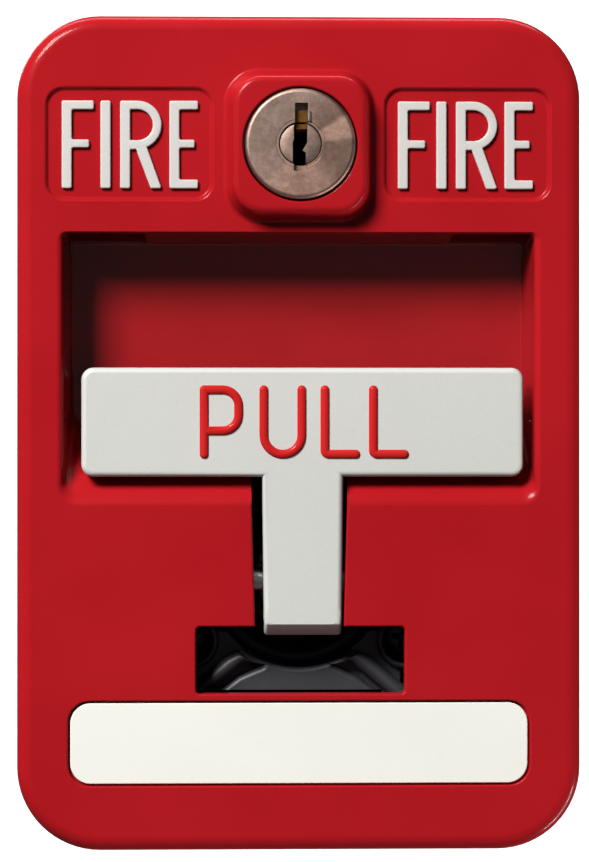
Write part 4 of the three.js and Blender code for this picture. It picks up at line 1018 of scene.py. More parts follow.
# ---------------------------------------------------------------- handle
def bead(path, half_width, height=0.5, segments=16, end_steps=6):
    """Domed bead along a path of (x, z) points, with round ends."""
    points = [Vector(p) for p in path]
    start_way = (points[1] - points[0]).normalized()
    end_way = (points[-1] - points[-2]).normalized()
    angles = [2 * PI * j / segments for j in range(segments)]

    def ring(p, along, scale):
        across = Vector((-along.y, along.x))
        return [(p.x + across.x * half_width * scale * math.cos(a),
                 -height * scale * math.sin(a),
                 p.y + across.y * half_width * scale * math.cos(a)) for a in angles]

    # (reach past the path's end, scale of the section), from the tip in
    ends = [(half_width * math.cos(t), math.sin(t))
            for t in (PI / 2 * i / end_steps for i in range(1, end_steps + 1))]
    rings = [ring(points[0] - start_way * reach, start_way, scale) for reach, scale in ends]
    for before, p, after in zip(points, points[1:], points[2:]):
        along = ((p - before).normalized() + (after - p).normalized()).normalized()
        rings.append(ring(p, along, 1))
    rings += [ring(points[-1] + end_way * reach, end_way, scale) for reach, scale in ends[::-1]]
    return loft(rings)


def pull_letters():
    """The word PULL in beads, along the bar of the handle."""
    r = 0.68
    low, high = -3.8 + r, 7.05 - r
    letters = []

    left, width, bend = -14.75 + r, 6.45 - 2 * r, 2.4
    right, middle = left + width, high - (6.15 - 0.1)
    straight = right - bend
    bowl = ([(left, high), (straight, high)] + arc(straight, high - bend, bend, 80, 10, 7)
            + [(right, high - bend), (right, middle + bend)]
            + arc(straight, middle + bend, bend, -10, -80, 7)
            + [(straight, middle), (left, middle)])
    letters.append(add(bead([(left, low), (left, high)], r), bead(bowl, r)))

    left, width = -5.95 + r, 6.95 - 2 * r
    half = width / 2
    letters.append(bead([(left, high), (left, low + half)]
                        + arc(left + half, low + half, half, 188, 352, 18)
                        + [(left + width, low + half), (left + width, high)], r))

    bend = 0.55
    for left, right in ((3.05, 8.95), (10.2, 16.15)):
        left, right = left + r, right - r
        letters.append(bead([(left, high), (left, low + bend)]
                            + arc(left + bend, low + bend, bend, 190, 260, 5)
                            + [(left + bend, low), (right, low)], r))
    return join(letters)


def handle_body(outline):
    """Slab from the handle's rear to its front, both rims rounded; outline(offset)."""
    rings = [lift(outline(-offset), HANDLE_REAR - depth) for offset, depth in quarter_round(0.6, 7)]
    rings += [lift(outline(-offset), HANDLE_FRONT + depth)
              for offset, depth in reversed(quarter_round(0.85, 7))]
    return loft(rings)


def build_handle():
    front, rear, mid = HANDLE_FRONT, HANDLE_REAR, HANDLE_X

    def bar_outline(offset):
        return rounded_rect(32.65 + offset, -6.45 - offset, 9.65 + offset,
                            max(1.8 + offset, 0.5), 8, mid)

    def stem_outline(offset):
        points = [(mid - 5.75 - offset, -28.35 - offset * 0.2),
                  (mid + 5.75 + offset, -28.35 - offset * 0.2),
                  (mid + 6.0 + offset, -4.2), (mid - 6.0 - offset, -4.2)]
        return round_corners(points, [0.8, 0.8, 0, 0], 5)

    handle = handle_body(bar_outline)
    # the back of the bar is bevelled to clear the sloping floor
    bevel = [(front + 2.6, -7.45), (rear + 1, -7.45),
             (rear + 1, -6.45 + (rear - front - 1.6) * RAMP), (front + 2.6, -6.45)]
    cut(handle, slab(bevel, mid - 34, mid + 34, "X"))

    # stem, with a heel under its foot whose face leans back: (y, z)
    stem = handle_body(stem_outline)
    heel = [(front + 0.02, -28.05), (front + 0.12, -28.3), (front + 1.75, -29.75),
            (front + 2.3, -29.9), (rear - 0.9, -29.9), (rear - 0.2, -29.2), (rear, -28.0),
            (rear, -26), (front + 0.02, -26)]
    add(stem, prism(heel, mid - 5.7, mid + 5.7, 0.5, "X", 4))
    add(handle, stem)
    add(handle, prism(hub_outline(rear - 0.5, 18), mid - 5.68, mid + 5.68, 0.25, "X"))

    # two fork arms behind the hub, tilted down: (away from the pin, across)
    c, s = math.cos(math.radians(-25)), math.sin(math.radians(-25))
    upper = [(0, 2.0), (6.2, 2.0), (6.5, 2.4), (6.35, 3.4), (0, 3.4)]
    for arm in (upper, [(u, -v) for u, v in upper[::-1]]):
        points = [(PIN_Y + u * c - v * s, PIN_Z + u * s + v * c) for u, v in arm]
        add(handle, soft_prism(points, 0.18, -2.2, 2.2, 0.25, "X", corner_steps=3))
    cut(handle, bore(2.2, -9, 9, "X", (PIN_Y, PIN_Z), 32))
    tidy(handle)
    stand_in(handle, "pull_handle", "handle", HANDLE_WHITE, 36)
    letters = move(pull_letters(), 0, front + 0.06, 0)
    finish_piece(letters, "pull_letters", "handle", LETTER_RED, 60)


# ---------------------------------------------------------------- switch carrier
# lathe profiles about the switch's axis: (radius, y)
DISH = [(11.6, -10.3), (11.2, -9.95), (10.95, -9.4), (10.7, -8.8), (10.35, -8.3), (9.85, -7.85),
        (9.45, -7.4), (9.1, -6.6), (8.7, -5.6), (8.4, -5.2), (0, -5.2)]
COLLAR = [(0, -3.4), (16.4, -3.4), (16.4, -6.2), (16.35, -6.5), (16.2, -6.75), (15.9, -6.95),
          (15.3, -7.15), (14.6, -7.35), (14.1, -7.6), (13.85, -7.95), (13.75, -8.5), (13.65, -9.3),
          (13.5, -9.8), (13.2, -10.13), (12.7, -10.33), (12.1, -10.36)] + DISH
SCREW_POST = [(0, -3), (4.5, -3), (4.45, -6.0), (4.15, -6.25), (4.0, -6.8), (4.0, -7.6),
              (3.85, -7.88), (3.55, -8.0), (0, -8.0)]
TOWER = [(0, -5.2), (4.3, -5.2), (4.3, -17.0), (4.18, -17.35), (3.95, -17.55), (3.7, -17.6),
         (0, -17.6)]
# cross-section of the arms: (growth, y)
ARM_SECTION = ((0.55, -5.0), (0.5, -6.0), (0.25, -6.25), (0.1, -6.8), (0.0, -7.9), (-0.12, -8.3),
               (-0.4, -8.55), (-0.8, -8.62))
# right half of the raised panel at the front, bottom to top: (x, z), and its corner radii
PANEL_HALF = [(12.9, -39.3), (11.3, -38.3), (8.9, -36.5), (6.6, -35.5), (5.3, -35.0), (5.0, -32.5)]
PANEL_CORNERS = [0.01, 0.9, 1.5, 1.2, 0.3, 0.01]


def carrier_arm(side_x, side_z):
    """Arm running out from the collar towards one screw post."""
    a = math.atan2(side_z * 0.75, side_x * 0.7)
    end = 22.5 if side_z > 0 else 27.5

    def at(u, v):
        return (u * math.cos(a) - v * math.sin(a), SWITCH_Z + u * math.sin(a) + v * math.cos(a))
    return loft([lift([at(13.2, -1.5 - g), at(end + g, -1.5 - g), at(end + g, 1.5 + g),
                       at(13.2, 1.5 + g)], y) for g, y in ARM_SECTION])


def carrier_ridge(side):
    """Rounded ridge that widens as it curves outwards and down across the front."""
    path = [(4.6, -34.0), (8.3, -33.35), (10.4, -34.75), (16.4, -39.9)]
    points = [Vector(p) for p in smooth_path([(side * x, z) for x, z in path], 1.6, 8)]
    last = len(points) - 1
    rings = []
    for i, p in enumerate(points):
        along = (points[min(last, i + 1)] - points[max(0, i - 1)]).normalized()
        across = Vector((-along.y, along.x))
        half_width = 0.72 + 0.55 * min(1.0, i / last * 1.6)
        ring = []
        for k in range(13):
            a = PI * k / 12
            v = p + across * (half_width * math.cos(a))
            ring.append((v.x, -17.6 - 1.8 * math.sin(a) ** 0.8, v.y))
        ring += [(ring[-1][0], -15.0, ring[-1][2]), (ring[0][0], -15.0, ring[0][2])]
        rings.append(ring)
    return loft(rings)


def carrier_front():
    """Deep block at the lower front with a panel, two ridges and two screw towers."""
    low_z = CARRIER_SCREW_ZS[0]
    front = soft_prism(rect(-15.6, 15.6, -39.3, -29.6), 0.8, -16.2, -5.2, 0.3)
    panel = round_corners([(-x, z) for x, z in PANEL_HALF] + PANEL_HALF[::-1],
                          PANEL_CORNERS + PANEL_CORNERS[::-1], 6)
    add(front, prism(panel, -18.3, -14.5, 0.85, steps=6))
    for side, _ in SIDES:
        add(front, carrier_ridge(side))
        add(front, move(lathe(TOWER, 48), side * CARRIER_SCREW_X, 0, low_z))
    # round opening about the switch, its front edge rounded
    radius, edge = 13.3, 0.8
    opening = [(0, -22), (radius + 1.4, -22), (radius + edge, -18.5)]
    opening += [(radius + offset, -18.3 + depth) for offset, depth in quarter_round(edge, 6)[1:]]
    opening += [(radius, -4), (0, -4)]
    cut(front, move(lathe(opening, 128), 0, 0, SWITCH_Z))
    trim_to(front, slab(rounded_rect(20.6, -39.3, -26.8, 0.5, 4), -22, -5.0))
    for x in (-CARRIER_SCREW_X, CARRIER_SCREW_X):
        cut(front, drill(3.4, -17.6, -8.0, x, low_z, flare=0.3))
    return cut(front, drill(3.2, -20, -1, 0, -BOX_SCREW_Z))


def build_carrier():
    outline = rounded_rect(22, -47.6, -6.6, 3.0, 8)
    body = prism(outline, -6.0, -1.7, 0.45, steps=4)
    cut(body, slab(rounded_rect(20.4, -46.0, -8.2, 1.8, 6), -4.0, -1.0))
    cut(body, drill(3.9, -6, -1.7, 0, -BOX_SCREW_Z, flare=0.3))
    add(body, move(lathe(COLLAR, 96), 0, 0, SWITCH_Z))
    for side_x in (-1, 1):
        for side_z, z in zip((-1, 1), CARRIER_SCREW_ZS):
            add(body, carrier_arm(side_x, side_z))
            add(body, move(lathe(SCREW_POST, 40), side_x * CARRIER_SCREW_X, 0, z))
    well = [(0, -14), (12.0, -14), (12.0, -10.6)] + DISH
    cut(body, move(lathe(well, 96), 0, 0, SWITCH_Z))
    trim_to(body, slab(outline, -14, -1.7))
    add(body, carrier_front())
    cut(body, drill(4.1, -7, -1, 0, SWITCH_Z))
    for x in (-CARRIER_SCREW_X, CARRIER_SCREW_X):
        for z in CARRIER_SCREW_ZS:
            cut(body, drill(1.65, -12, -1, x, z, 24))
    tidy(body)
    stand_in(body, "switch_carrier", "base", BLACK, 38)


# ---------------------------------------------------------------- screws and nuts
# (head radius, head height, shank radius, length)
CAM_SCREW = (3.2, 1.9, 1.2, 5.2)
DETENT_SCREW = (1.9, 1.1, 0.9, 3.6)
CLIP_SCREW = (1.5, 0.9, 0.7, 0.3)
BOX_SCREW = (3.5, 2.1, 1.7, 22)
GROUND_SCREW = (3.6, 2.2, 1.5, 6)
CARRIER_SCREW = (3.0, 1.8, 1.3, 9.4)
TERMINAL_SCREW = (2.8, 1.7, 1.25, 5.0)
BLOCK_SCREW = (2.8, 1.6, 1.25, 5.4)


def screw(size, drive, pitch, turn):
    """Pan-head screw: seat at y = 0, domed head towards -Y, shank towards +Y."""
    head, height, shank, length = size
    profile = [(0, -height)]
    for i in range(1, 9):
        t = PI / 2 * i / 8
        radius = head * (0.52 + 0.48 * math.sin(t)) if i > 1 else head * 0.42
        profile.append((radius, -height * (0.30 + 0.70 * math.cos(t * 0.98))))
    profile += [(head, -0.18), (head - 0.14, 0.0), (shank + 0.12, 0.0), (shank * 0.98, 0.14)]
    if length > 2.0:
        profile += thread(shank, shank * 0.2, pitch, 0.45, length - 0.5, 5)
        profile += [(shank * 0.62, length), (0, length)]
    else:
        profile += [(shank, length - 0.06), (shank - 0.06, length), (0, length)]
    o = lathe(profile, 36)
    w, reach, depth = head * 0.15, head * 0.6, height * 0.62
    if drive == "cross":
        for extra in (0, 90):
            wing = loft([lift(rect(-reach, reach, -w, w), -height - 1),
                         lift(rect(-reach, reach, -w, w), -height),
                         lift(rect(-w, w, -w * 0.6, w * 0.6), -height + depth)])
            cut(o, move(wing, turn=rotation("Y", turn + extra)))
    else:
        slot = box(-head - 1, head + 1, -height - 1, -height + depth * 0.9, -w * 0.9, w * 0.9)
        cut(o, move(slot, turn=rotation("Y", turn)))
    return o


def put_screw(name, size, at, material=STEEL, body="base", tilt=None, drive="cross",
              turn=0.0, pitch=0.8):
    """turn sets the drive's angle; tilt turns the whole screw about X."""
    o = screw(size, drive, pitch, turn)
    move(o, *at, None if tilt is None else rotation("X", tilt))
    stand_in(o, name, body, material, 40)


def hex_nut(across_flats, hole, y0, y1, turn, z):
    """Hexagon nut on x = 0, its corners turned down at both faces."""
    o = slab(regular_polygon(across_flats / math.sqrt(3), 6, turn), y0, y1)
    r = across_flats / 2
    trim_to(o, lathe([(0, y0), (r * 0.97, y0), (r * 1.2, y0 + 0.42), (r * 1.2, y1 - 0.42),
                      (r * 0.97, y1), (0, y1)], 60))
    e = 0.35
    cut(o, lathe([(0, y0 - 1), (hole + e, y0 - 1), (hole + e, y0), (hole, y0 + e), (hole, y1 - e),
                  (hole + e, y1), (hole + e, y1 + 1), (0, y1 + 1)], 48))
    return move(o, 0, 0, z)


# ---------------------------------------------------------------- behind the lock
def build_lock_rear():
    stand_in(hex_nut(18.6, 7.75, -22.8, -19.8, 0, LOCK_Z), "lock_nut", "cover", STEEL, 35)

    tail = [(4.2, 9.4), (2.6, 11.6), (-2.6, 11.6), (-4.2, 9.4)]
    cam = soft_prism(arc(0, LOCK_Z, 4.6, 180, 360, 15) + [(x, LOCK_Z + z) for x, z in tail],
                     [0] * 16 + [1.2, 0.9, 0.9, 1.2], -9.6, -7.9, 0.16)
    square = round_corners(rect(-2.0, 2.0, LOCK_Z - 2.0, LOCK_Z + 2.0), 0.35, 3)
    cut(cam, slab(square, -11, -7))
    stand_in(cam, "lock_cam", "lock", ZINC, 35)
    stand_in(move(washer(1.6, 3.9, -7.65, -7.05), 0, 0, LOCK_Z), "cam_washer", "lock",
             SPRING, 35)
    put_screw("cam_screw", CAM_SCREW, (0, -7.0, LOCK_Z), body="lock", tilt=180, turn=20, pitch=0.7)

    for k in (1, 2, 3):
        y = LOCK_FRONT + 0.05 + 1.15 * k
        wafer = soft_prism(rect(-0.66, 0.98, LOCK_Z + 2.25 - 0.1 * k, LOCK_Z + 2.90), 0.05,
                           y - 0.75, y - 0.13, 0.05)
        stand_in(wafer, "lock_wafer_%d" % k, "lock", WAFER, 40)


# ---------------------------------------------------------------- handle pin, springs and clips
def build_handle_pin():
    # right half, from the clip groove out: (radius, x)
    half = [(1.9, 12.8), (1.3, 12.85), (1.3, 13.55), (1.9, 13.6), (1.9, 13.72), (1.5, 14.0),
            (0, 14.0)]
    pin = lathe([(radius, -x) for radius, x in half[::-1]] + half, 40)
    pin.data.transform(rotation("Z", -90))
    stand_in(move(pin, 0, PIN_Y, PIN_Z), "handle_pin", "cover", STEEL, 30)


def clip_point(radius, angle):
    return (PIN_Y - radius * math.sin(angle), PIN_Z + radius * math.cos(angle))


def build_pin_clips():
    """Open rings in the pin's grooves, lobed on the outside."""
    for (_, tag), x in zip(SIDES, (-13.5, 12.9)):
        points = []
        for k in range(25):
            a = math.radians(118 + (422 - 118) * k / 24 - 90)
            lobed = 2.75 - 0.35 * (0.5 + 0.5 * math.cos(3 * (a + PI / 2)))
            points.append(clip_point(lobed, a))
        for k in range(24, -1, -1):
            points.append(clip_point(1.5, math.radians(122 + (418 - 122) * k / 24 - 90)))
        clip = prism(points, x + 0.02, x + 0.58, 0.08, "X", 2)
        stand_in(clip, "pin_clip_" + tag, "cover", SPRING, 35)


def build_detent():
    path = [(-11.6, -12.3), (-15.9, -12.3), (-17.4, -14.4), (-18.1, -16.6), (-18.8, -17.5),
            (-19.7, -17.3)]
    spring = strip(smooth_path(path, 0.7), 0.42, 2.8, 5.6, 0.06)
    cut(spring, bore(1.15, -14.5, -11, "Z", (DETENT_X, DETENT_Y), 24))
    stand_in(spring, "detent_spring", "cover", SPRING, 35)
    put_screw("detent_screw", DETENT_SCREW, (DETENT_X, DETENT_Y, -12.85), body="cover", tilt=90,
              turn=35, pitch=0.5)


def build_rod_clips():
    path = [(-22.6, 37.5), (-22.6, 31.9), (-14.2, 31.9), (-14.2, 34.6)]
    for side, tag in SIDES:
        clip = strip(smooth_path(path, 0.6), 0.5, *on_side(side, 24.0, 27.2), 0.1)
        stand_in(clip, "rod_clip_" + tag, "cover", BRASS, 35)
        put_screw("rod_clip_screw_" + tag, CLIP_SCREW, (side * 25.6, -21.75, 35.4), body="cover",
                  tilt=180, turn=15 * side)


# ---------------------------------------------------------------- mounting plate and strike
def plate_hole(plate, outline, edge):
    """Hole through the plate with both rims chamfered."""
    wide = inset(outline, -edge)
    cut(plate, loft([lift(wide, -PLATE - 1), lift(wide, -PLATE), lift(outline, -PLATE + edge),
                     lift(outline, -edge), lift(wide, 0), lift(wide, 1)]))


def build_plate():
    plate = prism(rounded_rect(38.2, -56.2, 57.6, 8.6, 12), -PLATE, 0, 0.22)
    # hinge ears rolled forward out of the plate
    ear = [(-0.02, -54.4), (-PLATE + 0.02, -54.4), (-PLATE + 0.02, HINGE_Z + 2.3)]
    ear += arc(HINGE_Y, HINGE_Z, 2.38, 88, 340, 21) + [(-0.02, HINGE_Z + 0.4)]
    for side, _ in SIDES:
        x0, x1 = on_side(side, 19.0, 33.0)
        cut(plate, box(x0, x1, -3, 1, -61, -55.2, 0.9))
        add(plate, prism(ear, *on_side(side, 23.0, 29.0), 0.18, "X", 2))
        cut(plate, bore(1.3, *on_side(side, 22, 30), "X", (HINGE_Y, HINGE_Z), 28))

    # slots: (x, z, half width, half height)
    for x, z, half_width, half_height in (
            (0, BOX_SCREW_Z, 2.1, 3.4), (0, -BOX_SCREW_Z, 2.1, 3.4),
            (-24, 24, 2.1, 3.2), (24, 24, 2.1, 3.2)):
        slot = rounded_rect(half_width, z - half_height, z + half_height, half_width - 0.02, 8, x)
        plate_hole(plate, slot, 0.16)
    plate_hole(plate, rounded_rect(8.2, -33.2, -10.6, 1.0, 5), 0.16)
    # round holes: (x, z, radius)
    holes = [(x, z, 1.65) for x in (-CARRIER_SCREW_X, CARRIER_SCREW_X) for z in CARRIER_SCREW_ZS]
    holes += [(x, BLOCK_SCREW_Z, 1.65) for x in (-BLOCK_SCREW_X, BLOCK_SCREW_X)]
    holes += [(-STRIKE_X, STRIKE_Z, 1.65), (STRIKE_X, STRIKE_Z, 1.65), (GROUND_X, GROUND_Z, 1.85)]
    for x, z, radius in holes:
        plate_hole(plate, regular_polygon(radius, 28, 0, x, z), 0.12)

    # pressed rib each side, proud of the front: (growth, y from the plate's front)
    for side, _ in SIDES:
        add(plate, loft([lift(rounded_rect(1.5, -44, 12, 1.45, 8, side * 33.6, grow), -PLATE + y)
                         for grow, y in ((0.5, 0.2), (0.4, -0.06), (0.05, -0.34), (-0.5, -0.5))]))
    # shallow relief in the back, behind the terminal block
    cut(plate, box(-22.4, 22.4, -0.4, 1, 1.1, 17.4))
    tidy(plate)
    stand_in(plate, "mounting_plate", "base", ZINC, 34)


def build_plate_hardware():
    for side, tag in SIDES:
        pin = rod(1.15, *on_side(side, 19.6, 32.4), "X", (HINGE_Y, HINGE_Z), 0.25, 28)
        stand_in(pin, "hinge_pin_" + tag, "base", STEEL, 35)
    for name, z, turn in (("top", BOX_SCREW_Z, 12), ("bottom", -BOX_SCREW_Z, -24)):
        put_screw("box_screw_" + name, BOX_SCREW, (0, -1.65, z), material=DARK_STEEL, turn=turn)
    put_screw("ground_screw", GROUND_SCREW, (GROUND_X, -1.65, GROUND_Z), GREEN,
              drive="slot", turn=35)


# strike: (y, z) outline of the bent plate, and its corner radii
STRIKE_POINTS = [(-1.65, 46.6), (-1.65, 56.2), (-11.8, 56.2), (-11.8, 50.8), (-10.6, 50.8),
                 (-10.6, 55.0), (-2.8, 55.0), (-2.8, 46.6)]
STRIKE_CORNERS = [0.05, 1.3, 1.3, 0.3, 0.3, 0.25, 0.25, 0.05]


def corner_cutter(side, half_width, z, y0, y1):
    """What lies outside a rounded lower corner at x = side * half_width."""
    radius, x = 1.4, side * half_width
    cutter = slab(rect(x - 1.5, x + 1.5, z - 1.5, z + 1.5), y0, y1)
    cut(cutter, drill(radius, y0 - 2, y1 + 2, x - side * radius, z + radius, 32))
    x0, x1 = on_side(side, half_width - radius, half_width + 0.3)
    return trim_to(cutter, slab(rect(x0, x1, z - 0.3, z + radius), y0, y1))


def build_strike():
    half_width = 8
    strike = soft_prism(STRIKE_POINTS, STRIKE_CORNERS, -half_width, half_width, 0.15, "X",
                        corner_steps=6)
    for x in (-STRIKE_X, STRIKE_X):
        cut(strike, drill(1.62, -4, 0, x, STRIKE_Z, 28))
    # corners of the foot and of the lip
    for side, _ in SIDES:
        for z, y0, y1 in ((46.6, -4, 0), (50.8, -13, -9)):
            cut(strike, corner_cutter(side, half_width, z, y0, y1))
    tidy(strike)
    stand_in(strike, "strike_bracket", "base", ZINC, 34)
    rivet = [(0, -1.15), (0.9, -1.1), (1.7, -0.88), (2.25, -0.5), (2.5, -0.12), (2.4, -0.02),
             (1.4, 0.0), (1.4, 2.6), (1.25, 2.75), (0, 2.75)]
    for side, tag in SIDES:
        stand_in(move(lathe(rivet, 32), STRIKE_X * side, -2.85, STRIKE_Z), "strike_rivet_" + tag,
                 "base", STEEL, 40)


def build_carrier_screws():
    places = [(x, z) for z in CARRIER_SCREW_ZS[::-1] for x in (-CARRIER_SCREW_X, CARRIER_SCREW_X)]
    for k, ((x, z), turn) in enumerate(zip(places, (17, -40, 52, 8)), 1):
        put_screw("carrier_screw_%d" % k, CARRIER_SCREW, (x, -8.1, z), material=DARK_STEEL,
                  turn=turn, pitch=0.75)


# ---------------------------------------------------------------- toggle switch
# lever about its pivot: (radius, y)
LEVER = [(0, -11.55), (0.5, -11.48), (0.95, -11.2), (1.28, -10.75), (1.4, -10.15), (1.32, -9.7),
         (1.08, -9.2), (0.86, -8.85), (0.80, -8.4), (0.84, -6.5), (0.92, -4.5), (1.0, -2.6),
         (1.3, -2.05), (1.72, -1.45), (2.05, -0.8), (2.2, 0), (2.05, 0.8), (1.72, 1.35),
         (1.3, 1.85), (0.95, 2.2), (0.88, 3.0), (0.8, 7.9), (0.62, 8.3), (0.35, 8.52), (0, 8.6)]
# lower half of the solder in a lug's eye: (radius, height from the lug's middle)
SOLDER_HALF = [(0, -1.05), (0.75, -0.98), (1.15, -0.62), (1.35, -0.42), (0.86, -0.38)]


def build_switch_case():
    mid = SWITCH_Z
    case = soft_prism(rect(-6.6, 6.6, mid - 10, mid + 10), 0.5, -3.2, 11.0, 0.35, low_edge=0.12)
    cut(case, slab(round_corners(rect(-5, 5, mid - 8.6, mid + 8.6), 0.5, 4), -4, 9.2))
    # two opposite corners cut back
    cut(case, box(-8, -6.2, -1.6, 9, mid - 11, mid - 8.4))
    cut(case, box(6.2, 8, -1.6, 9, mid + 8.4, mid + 11))
    # lug slots, and two grooves between them
    for offset in (-LUG_PITCH, 0, LUG_PITCH):
        cut(case, box(-2.6, 2.6, 8, 12, mid + offset - 0.7, mid + offset + 0.7))
    for offset in (-LUG_PITCH / 2, LUG_PITCH / 2):
        cut(case, box(-8, 8, 10.55, 12, mid + offset - 0.5, mid + offset + 0.5))
    tidy(case)
    stand_in(case, "switch_case", "base", PHENOLIC, 35)


def build_bushing():
    profile = [(2.7, -8.6), (3.3, -8.6), (3.5, -8.45)] + thread(3.7, 0.32, 0.8, -8.3, -3.5, 6)
    profile += [(3.68, -3.3), (4.8, -3.3), (4.8, -1.9), (2.6, -1.9)]
    stand_in(move(lathe(profile, 56, closed=True), 0, 0, SWITCH_Z), "switch_bushing", "base",
             STEEL, 38)
    stand_in(hex_nut(10.2, 4.0, -7.6, -5.75, 30, SWITCH_Z), "bushing_nut", "base",
             STEEL, 35)
    toothed = washer(4.0, 6.2, -5.65, -5.25, 0.1, 60)
    for angle in range(0, 360, 20):
        notch = box(5.35, 6.6, -6.2, -5.0, -0.18, 0.18)
        cut(toothed, move(notch, turn=rotation("Y", angle)))
    stand_in(move(toothed, 0, 0, SWITCH_Z), "bushing_washer", "base", SPRING, 35)


def build_lugs():
    for name, offset, y0 in (("lug_common", 0, 6.4), ("lug_normally_closed", LUG_PITCH, 7.9),
                             ("lug_normally_open", -LUG_PITCH, 7.9)):
        z = SWITCH_Z + offset
        lug = soft_prism(rect(-2.3, 2.3, y0, 15.6), [0.2, 0.2, 1.3, 1.3], z - 0.4, z + 0.4, 0.08,
                         "Z", corner_steps=6, steps=2)
        cut(lug, bore(0.9, z - 1, z + 1, "Z", (0, LUG_EYE_Y), 24))
        stand_in(lug, name, "base", BRASS, 35)
        blob = lathe([(radius, z + height) for radius, height in SOLDER_HALF]
                     + [(radius, z - height) for radius, height in SOLDER_HALF[::-1]], 28)
        blob.data.transform(rotation("X", 90))
        finish_piece(move(blob, 0, LUG_EYE_Y, 0), name + "_solder", "base", SOLDER, 50)


def build_switch_moving_parts():
    lever = lathe(LEVER, 36)
    lever.data.transform(rotation("X", 13))
    stand_in(move(lever, 0, -4.6, SWITCH_Z), "toggle_lever", "toggle", STEEL, 60)

    points = [(-0.7, -1.4), (0.1, -1.7), (1.1, -7.2), (1.6, -7.0), (0.5, 0.1), (1.6, 7.0),
              (1.1, 7.2), (0.1, 1.7), (-0.7, 1.4)]
    blade = soft_prism(points, [0.2, 0.3, 0.1, 0.1, 0.5, 0.1, 0.1, 0.3, 0.2], -1.8, 1.8, 0.1, "X",
                       corner_steps=3, steps=2)
    for z in (-6.6, 6.6):
        add(blade, rod(0.7, 0.4, 1.2, "Y", (0, z), 0.15, 20))
    blade.data.transform(rotation("X", -8))
    stand_in(move(blade, 0, 5.3, SWITCH_Z), "contact_rocker", "contact", BRASS, 35)


# ---------------------------------------------------------------- terminal block
def build_terminal_block():
    block = soft_prism(rect(-22, 22, 1.5, 17), 0.6, -0.3, 6.0, 0.3, low_edge=0.1)
    # ribs on either side of each terminal: (growth, y)
    rib = ((0.25, 5.7), (0.2, 6.0), (0.0, 6.25), (-0.02, 9.3), (-0.25, 9.55))
    for x in (-13.2, -4.5, 4.5, 13.2):
        add(block, loft([lift(round_corners(rect(x - 0.6 - g, x + 0.6 + g, 2.5 - g, 16 + g),
                                            0.25, 3), y) for g, y in rib]))
    for x in TERMINAL_XS:
        cut(block, drill(1.6, 1.2, 7, x, TERMINAL_SCREW_Z, 24))
        # seat of the clamp
        cut(block, box(x - 3.55, x + 3.55, 5.92, 7, 5.9, 15.1))
    for x in (-BLOCK_SCREW_X, BLOCK_SCREW_X):
        cut(block, drill(1.65, -2, 4.4, x, BLOCK_SCREW_Z, 24))
        cut(block, drill(3.0, 5.3, 8, x, BLOCK_SCREW_Z, 28))
    tidy(block)
    stand_in(block, "terminal_block", "base", BLACK, 35)


def build_terminals():
    thickness = 0.8
    for k, (x, turn) in enumerate(zip(TERMINAL_XS, (25, -50, 70)), 1):
        clamp = soft_prism(rect(x - 3.4, x + 3.4, 6.1, 14.9), 0.5, CLAMP_Y, CLAMP_Y + thickness,
                           0.14)
        # grooves across the rear face, below and above the screw
        for z in (7.3, 13.7):
            cut(clamp, bore(0.4, x - 4, x + 4, "X", (CLAMP_Y + thickness, z), 16))
        cut(clamp, drill(1.55, 5, 8, x, TERMINAL_SCREW_Z, 28))
        stand_in(clamp, "terminal_clamp_%d" % k, "base", BRASS, 35)
        put_screw("terminal_screw_%d" % k, TERMINAL_SCREW, (x, 7.05, TERMINAL_SCREW_Z), tilt=180,
                  drive="slot", turn=turn, pitch=0.7)
    for (side, tag), turn in zip(SIDES, (33, -18)):
        put_screw("block_screw_" + tag, BLOCK_SCREW, (side * BLOCK_SCREW_X, -1.65, BLOCK_SCREW_Z),
                  material=DARK_STEEL, turn=turn, pitch=0.7)


# ---------------------------------------------------------------- leads
def curve_points(points, per_span=12):
    """Centripetal Catmull-Rom curve through the given points."""
    P = [Vector(p) for p in points]
    P = [P[0] * 2 - P[1]] + P + [P[-1] * 2 - P[-2]]
    out = []
    for i in range(1, len(P) - 2):
        p0, p1, p2, p3 = P[i - 1:i + 3]
        d0, d1, d2 = [max((b - a).length ** 0.5, 1e-4) for a, b in ((p0, p1), (p1, p2), (p2, p3))]
        t1 = ((p1 - p0) / d0 - (p2 - p0) / (d0 + d1) + (p2 - p1) / d1) * d1
        t2 = ((p2 - p1) / d1 - (p3 - p1) / (d1 + d2) + (p3 - p2) / d2) * d1
        c2, c3 = -3 * p1 + 3 * p2 - 2 * t1 - t2, 2 * p1 - 2 * p2 + t1 + t2
        for k in range(per_span):
            t = k / per_span
            out.append(p1 + t1 * t + c2 * t * t + c3 * t * t * t)
    out.append(P[-2].copy())
    return out


def tube(points, radius, segments, end_radius):
    """Tube along points; radius(angle) is its section and end_radius sets how far the ends dome."""
    angles = [2 * PI * j / segments for j in range(segments)]

    def ring(p, up, side, scale):
        return [tuple(p + (up * math.cos(a) + side * math.sin(a)) * radius(a) * scale)
                for a in angles]

    rings = []
    up = Vector((1, 0, 0))
    last = len(points) - 1
    for i, p in enumerate(points):
        along = (points[min(last, i + 1)] - points[max(0, i - 1)]).normalized()
        up = (up - along * up.dot(along)).normalized()
        side = along.cross(up)
        if i == 0:
            for scale in (0.55, 0.85):
                rings.append(ring(p - along * end_radius * 0.35 * (1 - scale), up, side, scale))
        rings.append(ring(p, up, side, 1.0))
        if i == last:
            for scale in (0.85, 0.55):
                rings.append(ring(p + along * end_radius * 0.35 * (1 - scale), up, side, scale))
    return loft(rings)


def strands(points):
    """Bare twisted copper."""
    return tube(points, lambda a: 0.44 + 0.07 * abs(math.cos(3.5 * a)), 28, 0.3)


LEAD_END_Y = 7.9
